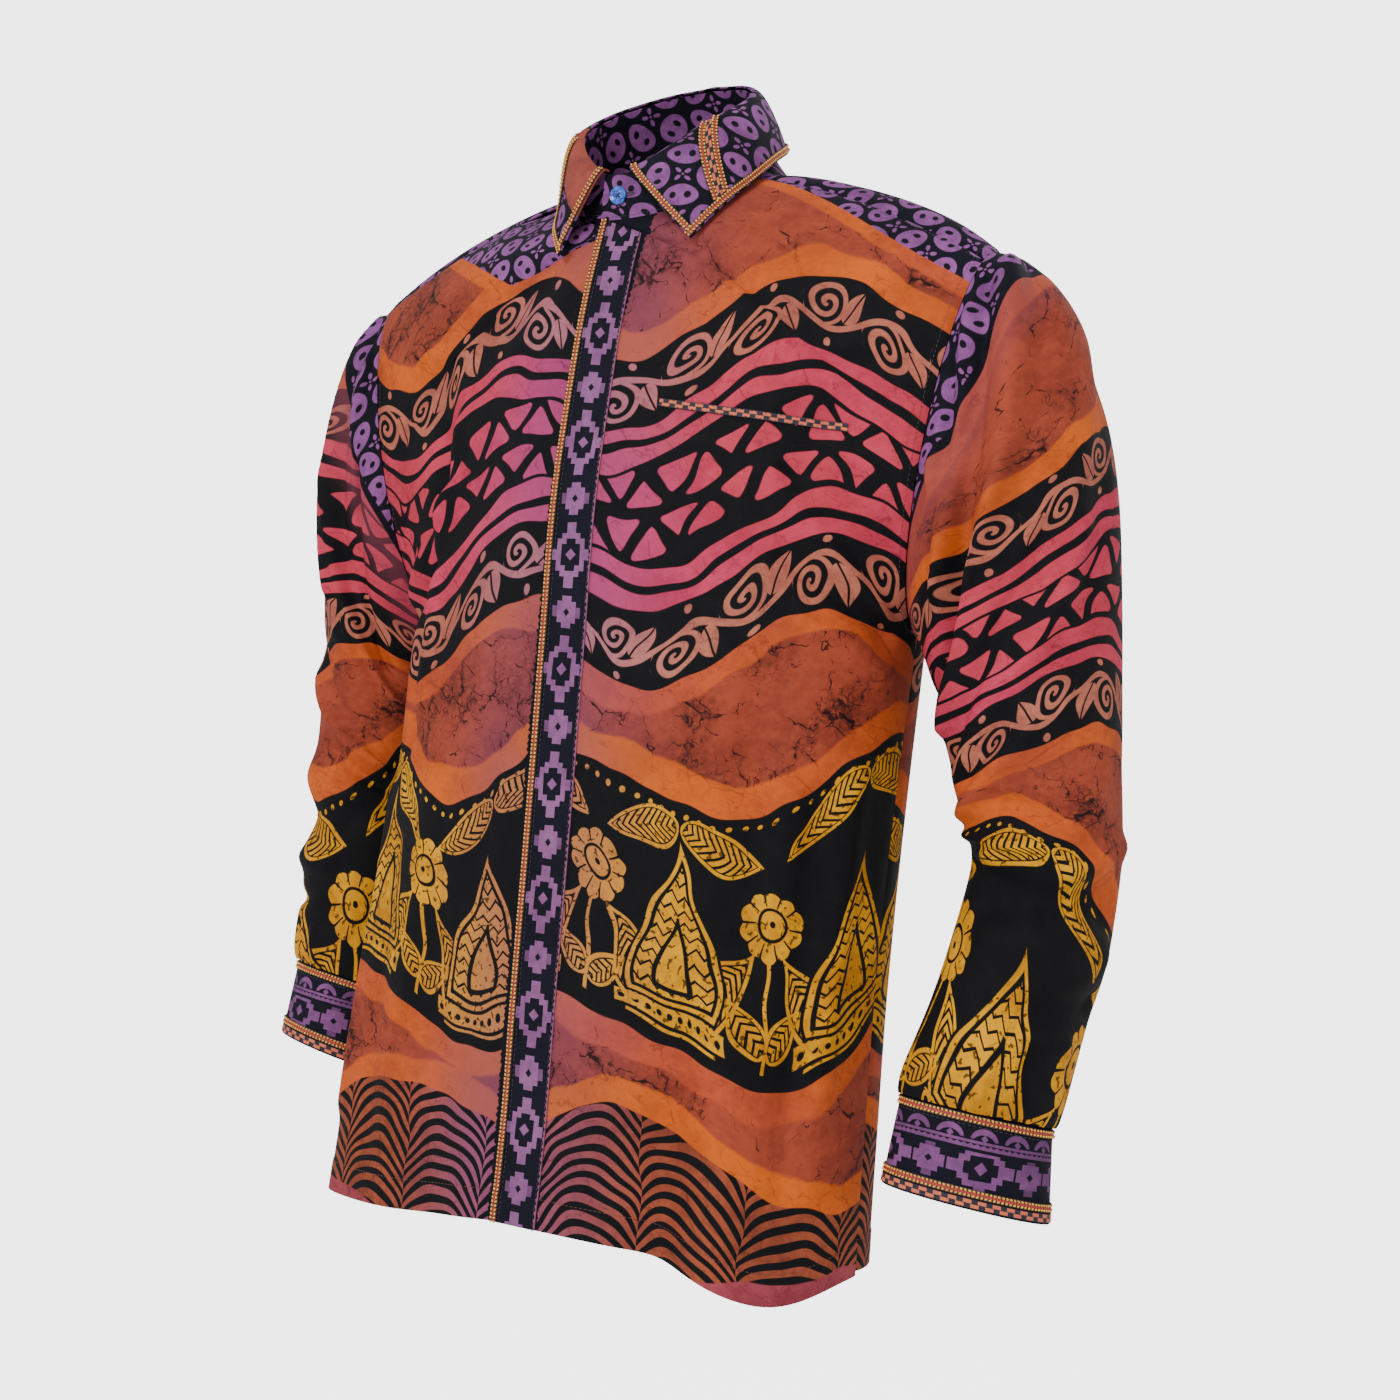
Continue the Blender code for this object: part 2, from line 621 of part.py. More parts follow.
def fold_point(angle, out=0.0, down=0.0):
    """On the line where the collar folds over, moved outwards and down."""
    a = math.radians(angle)
    z = smooth(FOLD_LINE["angle"], FOLD_LINE["z"], abs((angle + 180) % 360 - 180))
    x = (FOLD_HALF_WIDTH + out) * math.sin(a)
    return np.array([x, FOLD_Y - (FOLD_HALF_DEPTH + out) * math.cos(a), z - down])


def stand_grid():
    """From the neck seam up to just under the fold; the left end laps over the right one."""
    angles, base = neck_ring()
    under = -LAP_DROP * ramp(angles, 310, 345)
    top = [fold_point(angle, out - STAND_INSET, STAND_INSET) for angle, out in zip(angles, under)]
    return np.array([base + (np.array(top) - base) * f for f in np.linspace(0, 1, STAND_ROWS + 1)])


def leaf_grid():
    """From above the stand, over the fold and down to the leaf's lower edge."""
    grid = []
    for angle in np.linspace(LEAF_START, LEAF_END, LEAF_COLUMNS + 1):
        edge = row_of(LEAF_EDGE, LEAF_EDGE["angle"], angle)
        corner = fold_point(angle, LEAF_BULGE, LEAF_BULGE / 3)
        *roll, start = [fold_point(angle, out, down) for out, down in zip(*LEAF_ROLL.values())]
        fall = [conic(start, corner, edge, LEAF_WEIGHT, f) for f in np.linspace(0, 1, LEAF_ROWS + 1)]
        grid.append(roll + fall)
    return np.array(grid).swapaxes(0, 1)


def at_cell(grid, row, column):
    """A point on the two triangles of a grid's cell, at a (row, column) place between points."""
    i = int(np.clip(row, 0, len(grid) - 1.001))
    j = int(np.clip(column, 0, grid.shape[1] - 1.001))
    f, g = row - i, column - j
    near, far = grid[i, j], grid[i + 1, j + 1]
    if f > g:
        return near + f * (grid[i + 1, j] - near) + g * (far - grid[i + 1, j])
    return near + g * (grid[i, j + 1] - near) + f * (far - grid[i, j + 1])


def grid_cells(grid):
    """The (row, column) places of a grid's own points."""
    return [[(row, column) for column in range(grid.shape[1])] for row in range(len(grid))]


def laid_on(grid, facing, cells, lift):
    """Rows of points on a panel, moved out; cells holds (row, column) places."""
    normals = grid_normals(grid, facing)
    return np.array(
        [[at_cell(grid, *cell) + lift * unit(at_cell(normals, *cell)) for cell in row] for row in cells]
    )


def cell_under(grid, x, z):
    """The (row, column) place of a panel that lies at this x and z."""
    row, column = len(grid) / 2, grid.shape[1] / 2
    for _ in range(8):
        row = np.interp(z, [at_cell(grid, i, column)[2] for i in range(len(grid))], range(len(grid)))
        xs = [at_cell(grid, row, j)[0] for j in range(grid.shape[1])]
        column = np.interp(x, xs, range(len(xs)))
    return row, column


def rows_above_edge(grid, column, distances):
    """The fractional rows that lie so many metres above the last row, in one column."""
    line = np.array([at_cell(grid, row, column) for row in range(len(grid))])
    run = lengths(line, 0)
    return [np.interp(run[-1] - distance, run, range(len(grid))) for distance in distances]


def braid_or_tape(name, grid, facing, cells, finish, clearance=GAP):
    """A thin strip laid on a panel."""
    cloth_piece(name, laid_on(grid, facing, cells, TRIM + clearance), TRIM, finish, facing)


def leaf_column(angle):
    return (angle - LEAF_START) / (LEAF_END - LEAF_START) * LEAF_COLUMNS


def column_past(leaf, column, width):
    """The leaf's column that lies a width further along its middle."""
    line = np.array([at_cell(leaf, LEAF_FALL + LEAF_ROWS / 2, j) for j in range(LEAF_COLUMNS + 1)])
    run = lengths(line, 0)
    return np.interp(np.interp(column, range(len(run)), run) + width, run, range(len(run)))


def collar_riser(name, leaf, ends, slant, finish):
    """A strip that climbs the leaf from its edge braid to the fold, leaning back by a slant."""
    cells = []
    for column in sorted(ends):
        low = rows_above_edge(leaf, column, [EDGE_INSET + BRAID_WIDTH + 2 * GAP])[0]
        shares = np.linspace(0, 1, RISER_POINTS)
        cells.append([(LEAF_FALL + (low - LEAF_FALL) * f, column + slant * (1 - f)) for f in shares])
    braid_or_tape(name, leaf, -1, np.array(cells).swapaxes(0, 1), finish, clearance=LOOSE)


def button(name, centre, direction, across):
    """A turned button with a raised rim; across turns it about its own axis."""
    profile = [(radius * BUTTON_RADIUS, 0, height) for radius, height in zip(*BUTTON_PROFILE.values())]
    mesh = bpy.data.meshes.new(name)
    mesh.from_pydata(profile, [(i, i + 1) for i in range(len(profile) - 1)], [])
    obj = place(bpy.data.objects.new(name, mesh), BLUE)
    turn = obj.modifiers.new("turn", "SCREW")
    turn.steps = turn.render_steps = 24
    turn.use_merge_vertices = True
    turn.merge_threshold = 0.00005
    turn.use_normal_calculate = True
    z = Vector(direction).normalized()
    x = Vector(across)
    x = (x - z * x.dot(z)).normalized()
    obj.matrix_world = Matrix.Translation(centre) @ Matrix((x, z.cross(x), z)).transposed().to_4x4()


# ---- the scene, and the finishes ----

for old in list(bpy.data.objects):
    bpy.data.objects.remove(old, do_unlink=True)
shirt = bpy.data.collections.new(SHIRT)
bpy.context.scene.collection.children.link(shirt)

PRINT = material("printed_cotton", (0.42, 0.13, 0.07))
KAWUNG = material("kawung_cotton", (0.20, 0.08, 0.22))
NAVY = material("border_cotton", (0.02, 0.02, 0.05))
BRAID = material("yellow_braid", (0.80, 0.55, 0.18), 0.6)
CHECK = material("checked_tape", (0.65, 0.25, 0.12), 0.7)
BLUE = material("blue_button", (0.05, 0.18, 0.60), 0.15)

# ---- body, sleeves and cuffs ----

fronts = {side: front_grid(side) for side in (LEFT, RIGHT)}
corner_row = ROWS_TO_PIT + FRONT_ROWS_ABOVE - NECK_ROWS
for side, name in ((LEFT, "front_left"), (RIGHT, "front_right")):
    grid = pulled_back(fronts[side], high=SEAM_GAP, last=SEAM_GAP)
    neck = grid[corner_row:, 0]
    neck += SEAM_GAP * unit(grid[corner_row:, 1] - neck) - (0, 0, SEAM_GAP)
    cloth_piece(name, grid, CLOTH, PRINT, facing=side)

grid = pulled_back(back_grid(), high=SEAM_GAP, first=SEAM_GAP, last=SEAM_GAP)
cloth_piece("back", grid, CLOTH, PRINT)
grid = pulled_back(yoke_grid(), SEAM_GAP, SEAM_GAP, SEAM_GAP, SEAM_GAP)
cloth_piece("yoke", grid, CLOTH, KAWUNG)

for side, name in ((LEFT, "left"), (RIGHT, "right")):
    grid = pulled_back(sleeve_grid(side), low=SEAM_GAP)
    cloth_piece(f"sleeve_{name}", grid, CLOTH, PRINT, facing=side, closed=True)
    cuff = pulled_back(cuff_grid(side), low=SEAM_GAP)
    cloth_piece(f"cuff_{name}", cuff, CLOTH, NAVY, facing=side)
    seen = np.arange(2 * CUFF_LAP // TURN_STEP + 0.5, cuff.shape[1] - 1, 0.5)
    height = np.linalg.norm(cuff[-1, 0] - cuff[0, 0])
    for sewn, start in CUFF_STRIPS.items():
        width, finish = (TAPE_WIDTH, CHECK) if sewn == "tape" else (BRAID_WIDTH, BRAID)
        rows = np.array([start % height, start % height + width]) / height * CUFF_ROWS
        cells = [[(row, column) for column in seen] for row in rows]
        braid_or_tape(f"cuff_{sewn}_{name}", cuff, side, cells, finish)
    middle = laid_on(cuff, side, [[(CUFF_ROWS / 2, cuff.shape[1] - 2.0)]], GAP)[0, 0]
    out = unit(grid_normals(cuff, side)[CUFF_ROWS // 2, -2])
    button(f"cuff_button_{name}", middle, out, (0, 0, 1))

# ---- collar ----

stand = pulled_back(stand_grid(), low=3 * SEAM_GAP)
cloth_piece("collar_stand", stand, CLOTH, NAVY, facing=1)
leaf = leaf_grid()
cloth_piece("collar_leaf", leaf, CLOTH, KAWUNG, facing=-1)

columns = np.arange(0, LEAF_COLUMNS + 0.1, 0.5)
edge_rows = [rows_above_edge(leaf, column, (EDGE_INSET, EDGE_INSET + BRAID_WIDTH)) for column in columns]
cells = [[(rows[k], column) for rows, column in zip(edge_rows, columns)] for k in (1, 0)]
braid_or_tape("collar_braid_edge", leaf, -1, cells, BRAID, clearance=LOOSE)

for side, name in ((LEFT, "left"), (RIGHT, "right")):
    front = 0.02 if side == LEFT else LEAF_COLUMNS - 0.02  # just inside the leaf's front edge
    ends = front, column_past(leaf, front, side * BRAID_WIDTH)
    collar_riser(f"collar_braid_front_{name}", leaf, ends, 0, BRAID)
    column = leaf_column(TAPE_ANGLE if side == LEFT else 360 - TAPE_ANGLE)
    for sewn, width, finish in (
        ("braid_fore", BRAID_WIDTH, BRAID),
        ("tape", TAPE_WIDTH, CHECK),
        ("braid_aft", BRAID_WIDTH, BRAID),
    ):
        end = column_past(leaf, column, side * width)
        collar_riser(f"collar_{sewn}_{name}", leaf, (column, end), side * TAPE_SLANT, finish)
        column = column_past(leaf, end, side * 2 * GAP)

# ---- placket, pocket and neck button ----

under = fronts[LEFT][: corner_row + 1, :3]
placket = laid_on(under, LEFT, grid_cells(under), TRIM + GAP)
placket = pulled_back(placket, high=SEAM_GAP, first=SEAM_GAP, last=SEAM_GAP)
cloth_piece("placket", placket, TRIM, NAVY, facing=LEFT)
rows = np.linspace(0.002, len(placket) - 1.002, 2 * len(placket) - 1)
inset, width = np.array([BRAID_INSET, BRAID_WIDTH]) / (PLACKET_WIDTH / 2)
cells = [[(row, inset), (row, inset + width)] for row in rows]
braid_or_tape("placket_braid", placket, LEFT, cells, BRAID)

xs, zs = np.linspace(*POCKET_X, POCKET_POINTS), np.linspace(*POCKET_Z, POCKET_POINTS)
cells = [[cell_under(fronts[LEFT], x, z + up) for x, z in zip(xs, zs)] for up in (0, TAPE_WIDTH)]
braid_or_tape("pocket_tape", fronts[LEFT], LEFT, cells, CHECK, clearance=LOOSE)

spot = fold_point(0, -STAND_INSET, STAND_INSET)
spot += (neck_seam(0) - spot) * BUTTON_DROP + (0.0015, -GAP, 0)
button("neck_button", spot, (0, -1, 0), (0, 0, 1))
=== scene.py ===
# %% [markdown]
# # A batik shirt
# This lesson dresses a plain model of a men's long-sleeved batik shirt in cloth. The
# plain model is already packed, with one solid for each piece that a maker would cut.
# Each solid is replaced by a thinner and finer piece of cloth in the same place, with
# its folds, its print, its stitches, its braids and its buttons.
# Everything is in metres unless it says millimetres. +Z is up, the shirt faces -Y and +X
# is the wearer's left.

# %% Load the plain model
import math

import bmesh
import bpy
import numpy as np
from mathutils import Matrix, Vector


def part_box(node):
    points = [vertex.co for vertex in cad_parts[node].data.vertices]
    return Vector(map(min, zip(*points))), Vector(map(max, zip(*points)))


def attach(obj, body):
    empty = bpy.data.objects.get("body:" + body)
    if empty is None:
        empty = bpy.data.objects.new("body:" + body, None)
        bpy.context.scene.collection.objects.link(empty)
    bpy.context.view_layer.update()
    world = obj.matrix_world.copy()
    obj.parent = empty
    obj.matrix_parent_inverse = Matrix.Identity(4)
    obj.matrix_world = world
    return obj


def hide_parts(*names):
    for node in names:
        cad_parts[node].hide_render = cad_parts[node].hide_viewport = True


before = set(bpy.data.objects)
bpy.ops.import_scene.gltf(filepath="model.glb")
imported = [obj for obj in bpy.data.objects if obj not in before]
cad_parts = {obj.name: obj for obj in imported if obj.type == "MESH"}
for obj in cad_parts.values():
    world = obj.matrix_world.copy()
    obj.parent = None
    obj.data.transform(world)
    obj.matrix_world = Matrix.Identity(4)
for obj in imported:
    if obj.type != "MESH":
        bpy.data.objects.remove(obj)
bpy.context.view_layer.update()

# %% [markdown]
# ## Sizes
# A shirt is cut flat and takes its form from the wearer. Here the form is written as a
# few measured lines: the centre lines, the side seams, the armholes, the neck, the rings
# of the sleeves and the edge of the collar. Each line is a short table, and the cloth is
# spanned smoothly between them, so that neighbouring pieces share the same seam.

# %% Sizes and seam tables
LEFT, RIGHT = 1, -1
SIDES = {LEFT: "left", RIGHT: "right"}
CLOTH = 0.0008  # thickness of a cloth piece
TRIM = 0.0007  # thickness of braids, tapes and the placket strip
LAP, LAP_DROP = 0.0165, 0.0029  # the left front laps this far past the centre, over the right one
PLACKET_WIDTH, BRAID_WIDTH, TAPE_WIDTH = 0.034, 0.0048, 0.0050
CUFF_START, CUFF_LAP = 250, 30  # degrees
YOKE_FRONT, YOKE_BACK = 20, 60  # degrees round the armhole to the yoke's two seams
NECK_Y, NECK_HALF_WIDTH, NECK_HALF_DEPTH = -0.014, 0.064, 0.062
NECK_Z, NECK_SLOPE, NECK_POINT = -0.0145, 0.556, 84.0
FOLD_Y, FOLD_HALF_WIDTH, FOLD_HALF_DEPTH = -0.024, 0.058, 0.055
STAND_INSET = 0.0030
LEAF_START, LEAF_END = 10.0, 351.0  # degrees of the leaf's two front edges
LEAF_BULGE, LEAF_WEIGHT = 0.010, 0.8
# A front's rows run to the armpit, on to the neck and up to the yoke; a back's to the armpit
# and up to the yoke. The shares say how far up each panel those places are.
FRONT_ROWS, BACK_ROWS = (128, 50, 50), (128, 60)
PIT_SHARE, BACK_PIT_SHARE, NECK_SHARE = 0.56, 0.68, 0.78


def table(names, rows, unit=1):
    """Lines of numbers under named columns, as a dictionary of arrays."""
    values = np.array([row.split() for row in rows.strip().splitlines()], float)
    return dict(zip(names.split(), values.T / unit))


def millimetres(names, rows):
    """The same, for numbers that are written in millimetres."""
    return table(names, rows, 1000)


CENTRE_FRONT = millimetres("z x y", """
    -672 -13 -143
    -610 -9 -140
    -530 -6 -137
    -450 -3 -133
    -390 -1 -130
    -307 0 -124
    -226 1 -118
    -160 2 -107
    -100 3 -94
    -49 3 -76.5
""")
CENTRE_BACK = millimetres("z x y", """
    -690 -18 56
    -600 -14 58
    -500 -10 64
    -400 -6 74
    -300 -5 84
    -200 -4 91
    -120 -4 84
""")

# Side seams from the hem to the armpit, in millimetres; the right side flares at the hem.
SIDE_SEAM = {
    LEFT: millimetres("x y z", """
        166 -34 -694
        168 -30 -617
        169 -24 -539
        172 -18 -462
        176 -10 -384
        182 -3 -307
    """),
    RIGHT: millimetres("x y z", """
        -196 -47 -680
        -192 -41 -605
        -187 -33 -531
        -183 -24 -456
        -183 -12 -382
        -190 -5 -307
    """),
}

# Armhole loops: the top and the armpit (x, z), and how far each half reaches.
ARMHOLE = {
    LEFT: dict(top=(0.230, -0.075), pit=(0.182, -0.307), y=-0.003, front=0.044, back=0.058),
    RIGHT: dict(top=(-0.236, -0.077), pit=(-0.190, -0.307), y=-0.005, front=0.044, back=0.058),
}

# How a row bows between its two edges: the corner's place across the row, how far it
# stands out from the middle edge, and its share of the row's drop.
FRONT_BOW = table("share across out high weight", """
    0.00 1.00 0.002 0.50 0.95
    0.30 1.00 0.002 0.50 0.95
    0.56 0.97 0.004 0.45 0.85
    0.68 0.80 0.008 0.25 0.75
    0.78 0.64 0.012 0.22 0.70
    1.00 0.45 0.000 0.12 0.70
""")
# The right front flares at the hem: how far its rows' corners move out sideways there.
FLARE = {LEFT: 0.0, RIGHT: 0.058}
BACK_BOW = table("share across out high weight", """
    0.00 1.00 0.004 0.50 0.80
    0.40 1.00 0.004 0.50 0.80
    0.68 0.96 0.004 0.45 0.80
    1.00 0.80 0.010 0.25 0.75
""")
# How much of the armhole's own roundness the yoke keeps on its way to the centre back.
YOKE_BOW = table("s bow", """
    0 1.0
    0.1 1.3
    0.2 1.4
    0.33 1.3
    0.42 0.6
    0.5 0.3
""")

# Folds are soft ridges, or troughs, along lines from (u0, v0) to (u1, v1). Those of the
# fronts are in millimetres from the closing edge and above the hem.
FOLD = "u0 v0 u1 v1 width height"
FRONT_FOLDS = {
    LEFT: millimetres(FOLD, """
        150 -20 142 130 22 8
        112 -20 114 130 20 -11
    """),
    RIGHT: millimetres(FOLD, """
        148 320 146 500 10 5
        168 300 166 500 12 -7
        90 -20 100 160 26 -5
    """),
}
# Where the hem dips: metres from the closing edge, width and depth of the dip.
HEM_DIP = {LEFT: (0.180, 0.050, 0.022), RIGHT: (0.120, 0.050, 0.002)}

# Sleeve rings from the armhole to the cuff, in millimetres: outer and inner edge of each
# ring, half its depth from front to back, and how far its front stands above its middle.
RING = "outer_x outer_y outer_z inner_x inner_y inner_z depth rise"
SLEEVE = {
    LEFT: millimetres(RING, """
        256 -2 -87 188 -3 -315 56 0
        280 -1 -116 194 -4 -326 61 0
        296 1 -162 199 -5 -338 63 0
        306 3 -220 204 -6 -354 63 0
        310 5 -285 210 -8 -376 61 0
        312 6 -346 217 -10 -402 59 0
        314 7 -400 227 -12 -428 57 2
        315 6 -446 230 -16 -448 55 4
        311 0 -498 224 -28 -488 50 6
        302 -9 -542 219 -46 -526 45 6
        295 -16 -580 211 -62 -562 39 4
        291 -19 -596 211 -69 -577 32 2
    """),
    RIGHT: millimetres(RING, """
        -250 0 -92 -195 -3 -315 55 0
        -264 4 -122 -199 -1 -326 58 0
        -277 8 -168 -202 1 -338 59 0
        -284 11 -225 -203 4 -354 59 0
        -287 12 -285 -203 6 -376 58 0
        -290 12 -344 -202 6 -400 56 2
        -292 9 -396 -202 3 -424 55 6
        -291 2 -440 -203 -6 -444 53 10
        -284 -10 -482 -200 -19 -482 50 13
        -281 -21 -509 -199 -32 -516 45 13
        -281 -29 -528 -200 -41 -540 39 10
        -281 -33 -538 -203 -45 -551 32 8
    """),
}

# Cuff rings, at its top and bottom edge.
CUFF = {
    LEFT: millimetres(RING, """
        291 -19 -596 211 -69 -577 32 2
        296 -31 -649 208 -85 -627 34 2
    """),
    RIGHT: millimetres(RING, """
        -281 -33 -538 -203 -45 -551 32 8
        -283 -44 -588 -203 -58 -604 34 10
    """),
}

# Folds of the sleeves: u in degrees round the ring (0 outside, 90 in front) and v in
# shares of the way from the armhole to the cuff, with width and height in metres.
SLEEVE_FOLDS = {
    LEFT: table(FOLD, """
        30 0.08 95 0.36 0.020 0.005
        75 0.10 125 0.32 0.018 -0.006
        120 0.26 175 0.36 0.018 -0.005
        40 0.60 120 0.65 0.016 0.005
        20 0.700 120 0.705 0.014 -0.008
        20 0.745 110 0.750 0.014 0.005
    """),
    RIGHT: table(FOLD, """
        40 0.10 100 0.36 0.020 0.005
        80 0.12 130 0.34 0.018 -0.005
        20 0.60 110 0.62 0.016 0.005
        20 0.67 110 0.68 0.015 -0.006
    """),
}

# The collar's fold line, by degrees either way from centre front.
FOLD_LINE = table("angle z", """
    0 -0.0175
    15 -0.0155
    35 -0.0040
    58 0.0120
    90 0.0290
    120 0.0430
    150 0.0530
    180 0.0570
""")
# The leaf's lower edge, from the left collar point round the back to the right one.
LEAF_EDGE = table("angle x y z", """
    10 0.0600 -0.0830 -0.0665
    26 0.0668 -0.0745 -0.0545
    45 0.0722 -0.0595 -0.0405
    65 0.0750 -0.0385 -0.0260
    90 0.0745 -0.0125 -0.0095
    120 0.0650 0.0200 0.0050
    150 0.0380 0.0470 0.0130
    180 0.0000 0.0570 0.0140
    210 -0.0380 0.0470 0.0130
    240 -0.0650 0.0200 0.0050
    270 -0.0745 -0.0125 -0.0095
    295 -0.0705 -0.0400 -0.0245
    316 -0.0600 -0.0585 -0.0395
    336 -0.0515 -0.0745 -0.0550
    351 -0.0410 -0.0835 -0.0700
""")

# %% Curves and seams
def smooth(knots, values, at):
    """Values on a smooth curve through a table's rows, at any place between its knots."""
    knots, values = np.asarray(knots, float), np.asarray(values, float)
    slopes = np.gradient(values, knots, axis=0)
    row = int(np.clip(np.searchsorted(knots, at) - 1, 0, len(knots) - 2))
    span = knots[row + 1] - knots[row]
    f = (at - knots[row]) / span
    return (
        values[row] * (1 + 2 * f) * (1 - f) ** 2
        + values[row + 1] * f * f * (3 - 2 * f)
        + slopes[row] * span * f * (1 - f) ** 2
        - slopes[row + 1] * span * f * f * (1 - f)
    )


def row_of(rows, knots, at, names="x y z"):
    """Several columns of a table at once, at any place between its knots."""
    return smooth(knots, np.stack([rows[name] for name in names.split()], axis=-1), at)


def ramp(value, start, end):
    """0 before start, 1 after end, with a smooth change between them."""
    f = np.clip((value - start) / (end - start), 0.0, 1.0)
    return f * f * (3 - 2 * f)


def conic(start, corner, end, weight, s):
    """A point on the arc from start to end that a corner pulls outwards."""
    a, b, c = (1 - s) ** 2, 2 * weight * s * (1 - s), s * s
    return (a * start + b * corner + c * end) / (a + b + c)


def unit(vectors):
    return vectors / np.linalg.norm(vectors, axis=-1, keepdims=True)


def neck_seam(angle, out=0.0, up=0.0):
    """On the neck seam, in degrees from centre front towards the wearer's left."""
    a = math.radians(angle)
    x = (NECK_HALF_WIDTH + out) * math.sin(a)
    y = NECK_Y - (NECK_HALF_DEPTH + out) * math.cos(a)
    return np.array([x, y, NECK_Z + NECK_SLOPE * (y - NECK_Y) + up])


def neck_corner(side):
    """The angle on the neck seam where a front's closing edge ends."""
    return math.degrees(math.asin((CENTRE_FRONT["x"][-1] - side * LAP) / NECK_HALF_WIDTH))


def armhole(side, turn):
    """On the armhole seam, in degrees from its top: towards the front, or negative, the back."""
    loop = ARMHOLE[side]
    a = math.radians(turn)
    pit, top = np.array(loop["pit"]), np.array(loop["top"])
    x, z = pit + (top - pit) * (1 + math.cos(a)) / 2
    reach = -loop["front"] if turn > 0 else loop["back"]
    return np.array([x, loop["y"] + reach * abs(math.sin(a)), z])


def centre_line(rows, z):
    x, y = row_of(rows, rows["z"], z, "x y")
    return np.array([x, y, z])


def side_seam(side, share):
    rows = SIDE_SEAM[side]
    return row_of(rows, np.linspace(0, 1, len(rows["x"])), share)


def front_inner(side, share):
    """A front's closing edge, then its part of the neck seam."""
    corner = neck_corner(side)
    if share > NECK_SHARE:
        f = (share - NECK_SHARE) / (1 - NECK_SHARE)
        return neck_seam(corner + f * (side * NECK_POINT - corner))
    hem_z, top_z = CENTRE_FRONT["z"][[0, -1]]
    pit_z = ARMHOLE[side]["pit"][1]
    z = np.interp(share, (0, PIT_SHARE, NECK_SHARE), (hem_z, pit_z, top_z))
    point = centre_line(CENTRE_FRONT, z) - (side * LAP, 0, 0)
    top = centre_line(CENTRE_FRONT, top_z) - (side * LAP, 0, 0)
    return point + (neck_seam(corner) - top) * ramp(share, PIT_SHARE, NECK_SHARE)


def outer_edge(side, share, pit_share, ends):
    """A panel's side seam, then its part of the armhole between two turns."""
    if share <= pit_share:
        return side_seam(side, share / pit_share)
    return armhole(side, np.interp(share, (pit_share, 1), ends))


# %% Normals, lengths and folds
def grid_normals(grid, facing, closed=False):
    """Outward normals; facing is 1 where columns and rows turn right-handed about them."""
    if closed:
        padded = np.concatenate([grid[:, -1:], grid, grid[:, :1]], axis=1)
        d_across = (padded[:, 2:] - padded[:, :-2]) / 2
    else:
        d_across = np.gradient(grid, axis=1)
    return facing * unit(np.cross(d_across, np.gradient(grid, axis=0)))


def lengths(grid, axis):
    """Metres run along the cloth from its first row or column."""
    steps = np.linalg.norm(np.diff(grid, axis=axis), axis=-1)
    start = np.zeros_like(np.take(steps, [0], axis=axis))
    return np.cumsum(np.concatenate([start, steps], axis=axis), axis=axis)


def fold_height(start, end, width, height, u, v, turn_radius=None):
    """Height of one fold: a ridge, or with a negative height a trough, along a line."""
    du, dv = u - start[0], v - start[1]
    run = np.subtract(end, start)
    if turn_radius is not None:
        du = (du + 180) % 360 - 180
        du, run = np.radians(du) * turn_radius, np.array([math.radians(run[0]) * turn_radius, run[1]])
    f = np.clip((du * run[0] + dv * run[1]) / (run @ run), 0, 1)
    distance = np.hypot(du - f * run[0], dv - f * run[1])
    return height * np.exp(-((distance / width) ** 2))


def ring_point(row, turn):
    """On a sleeve or cuff ring: 0 degrees is its outer edge and 90 its front."""
    outer, inner = np.array(row[0:3]), np.array(row[3:6])
    depth, rise = row[6:8]
    middle, reach = (outer + inner) / 2, (outer - inner) / 2
    level = unit(np.array([reach[0], reach[1], 0]))
    forward = np.array([level[1], -level[0], 0]) * np.sign(level[0])
    a = math.radians(turn)
    return middle + reach * math.cos(a) + (forward * depth + (0, 0, rise)) * math.sin(a)


# %% [markdown]
# ## From lines to cloth
# A panel is a grid of points. Its rows run across the body and its columns along it. The
# same grid gives the mesh, the direction in which a fold rises, and, laid flat again, the
# coordinates of the print. A batik is dyed on flat cloth, so its pattern has to bend with
# the panel, and it is drawn in metres of flat cloth.

# %% Rows and columns of a panel
def panel_rows(count, *stops):
    """Row places from 0 to 1 with their spacing even in metres between the given stops."""
    parts = [np.linspace(a, b, n + 1)[1:] for a, b, n in zip(stops, stops[1:], count)]
    return np.concatenate([[stops[0]], *parts])


def spread(row, count, start=0.0):
    """The same curve with its points evenly spaced along it."""
    run = lengths(row, 0)
    at = np.linspace(start, run[-1], count)
    return np.stack([np.interp(at, run, row[:, k]) for k in range(3)], axis=-1)


def resampled(grid, rows, columns):
    """The grid read at other (row, column) places, on straight lines between its points."""
    def along(values, at):
        low = np.clip(np.floor(at).astype(int), 0, len(values) - 2)
        f = (at - low).reshape(-1, *[1] * (values.ndim - 1))
        return values[low] * (1 - f) + values[low + 1] * f

    turned_grid = along(grid, np.asarray(rows, float)).swapaxes(0, 1)
    return along(turned_grid, np.asarray(columns, float)).swapaxes(0, 1)


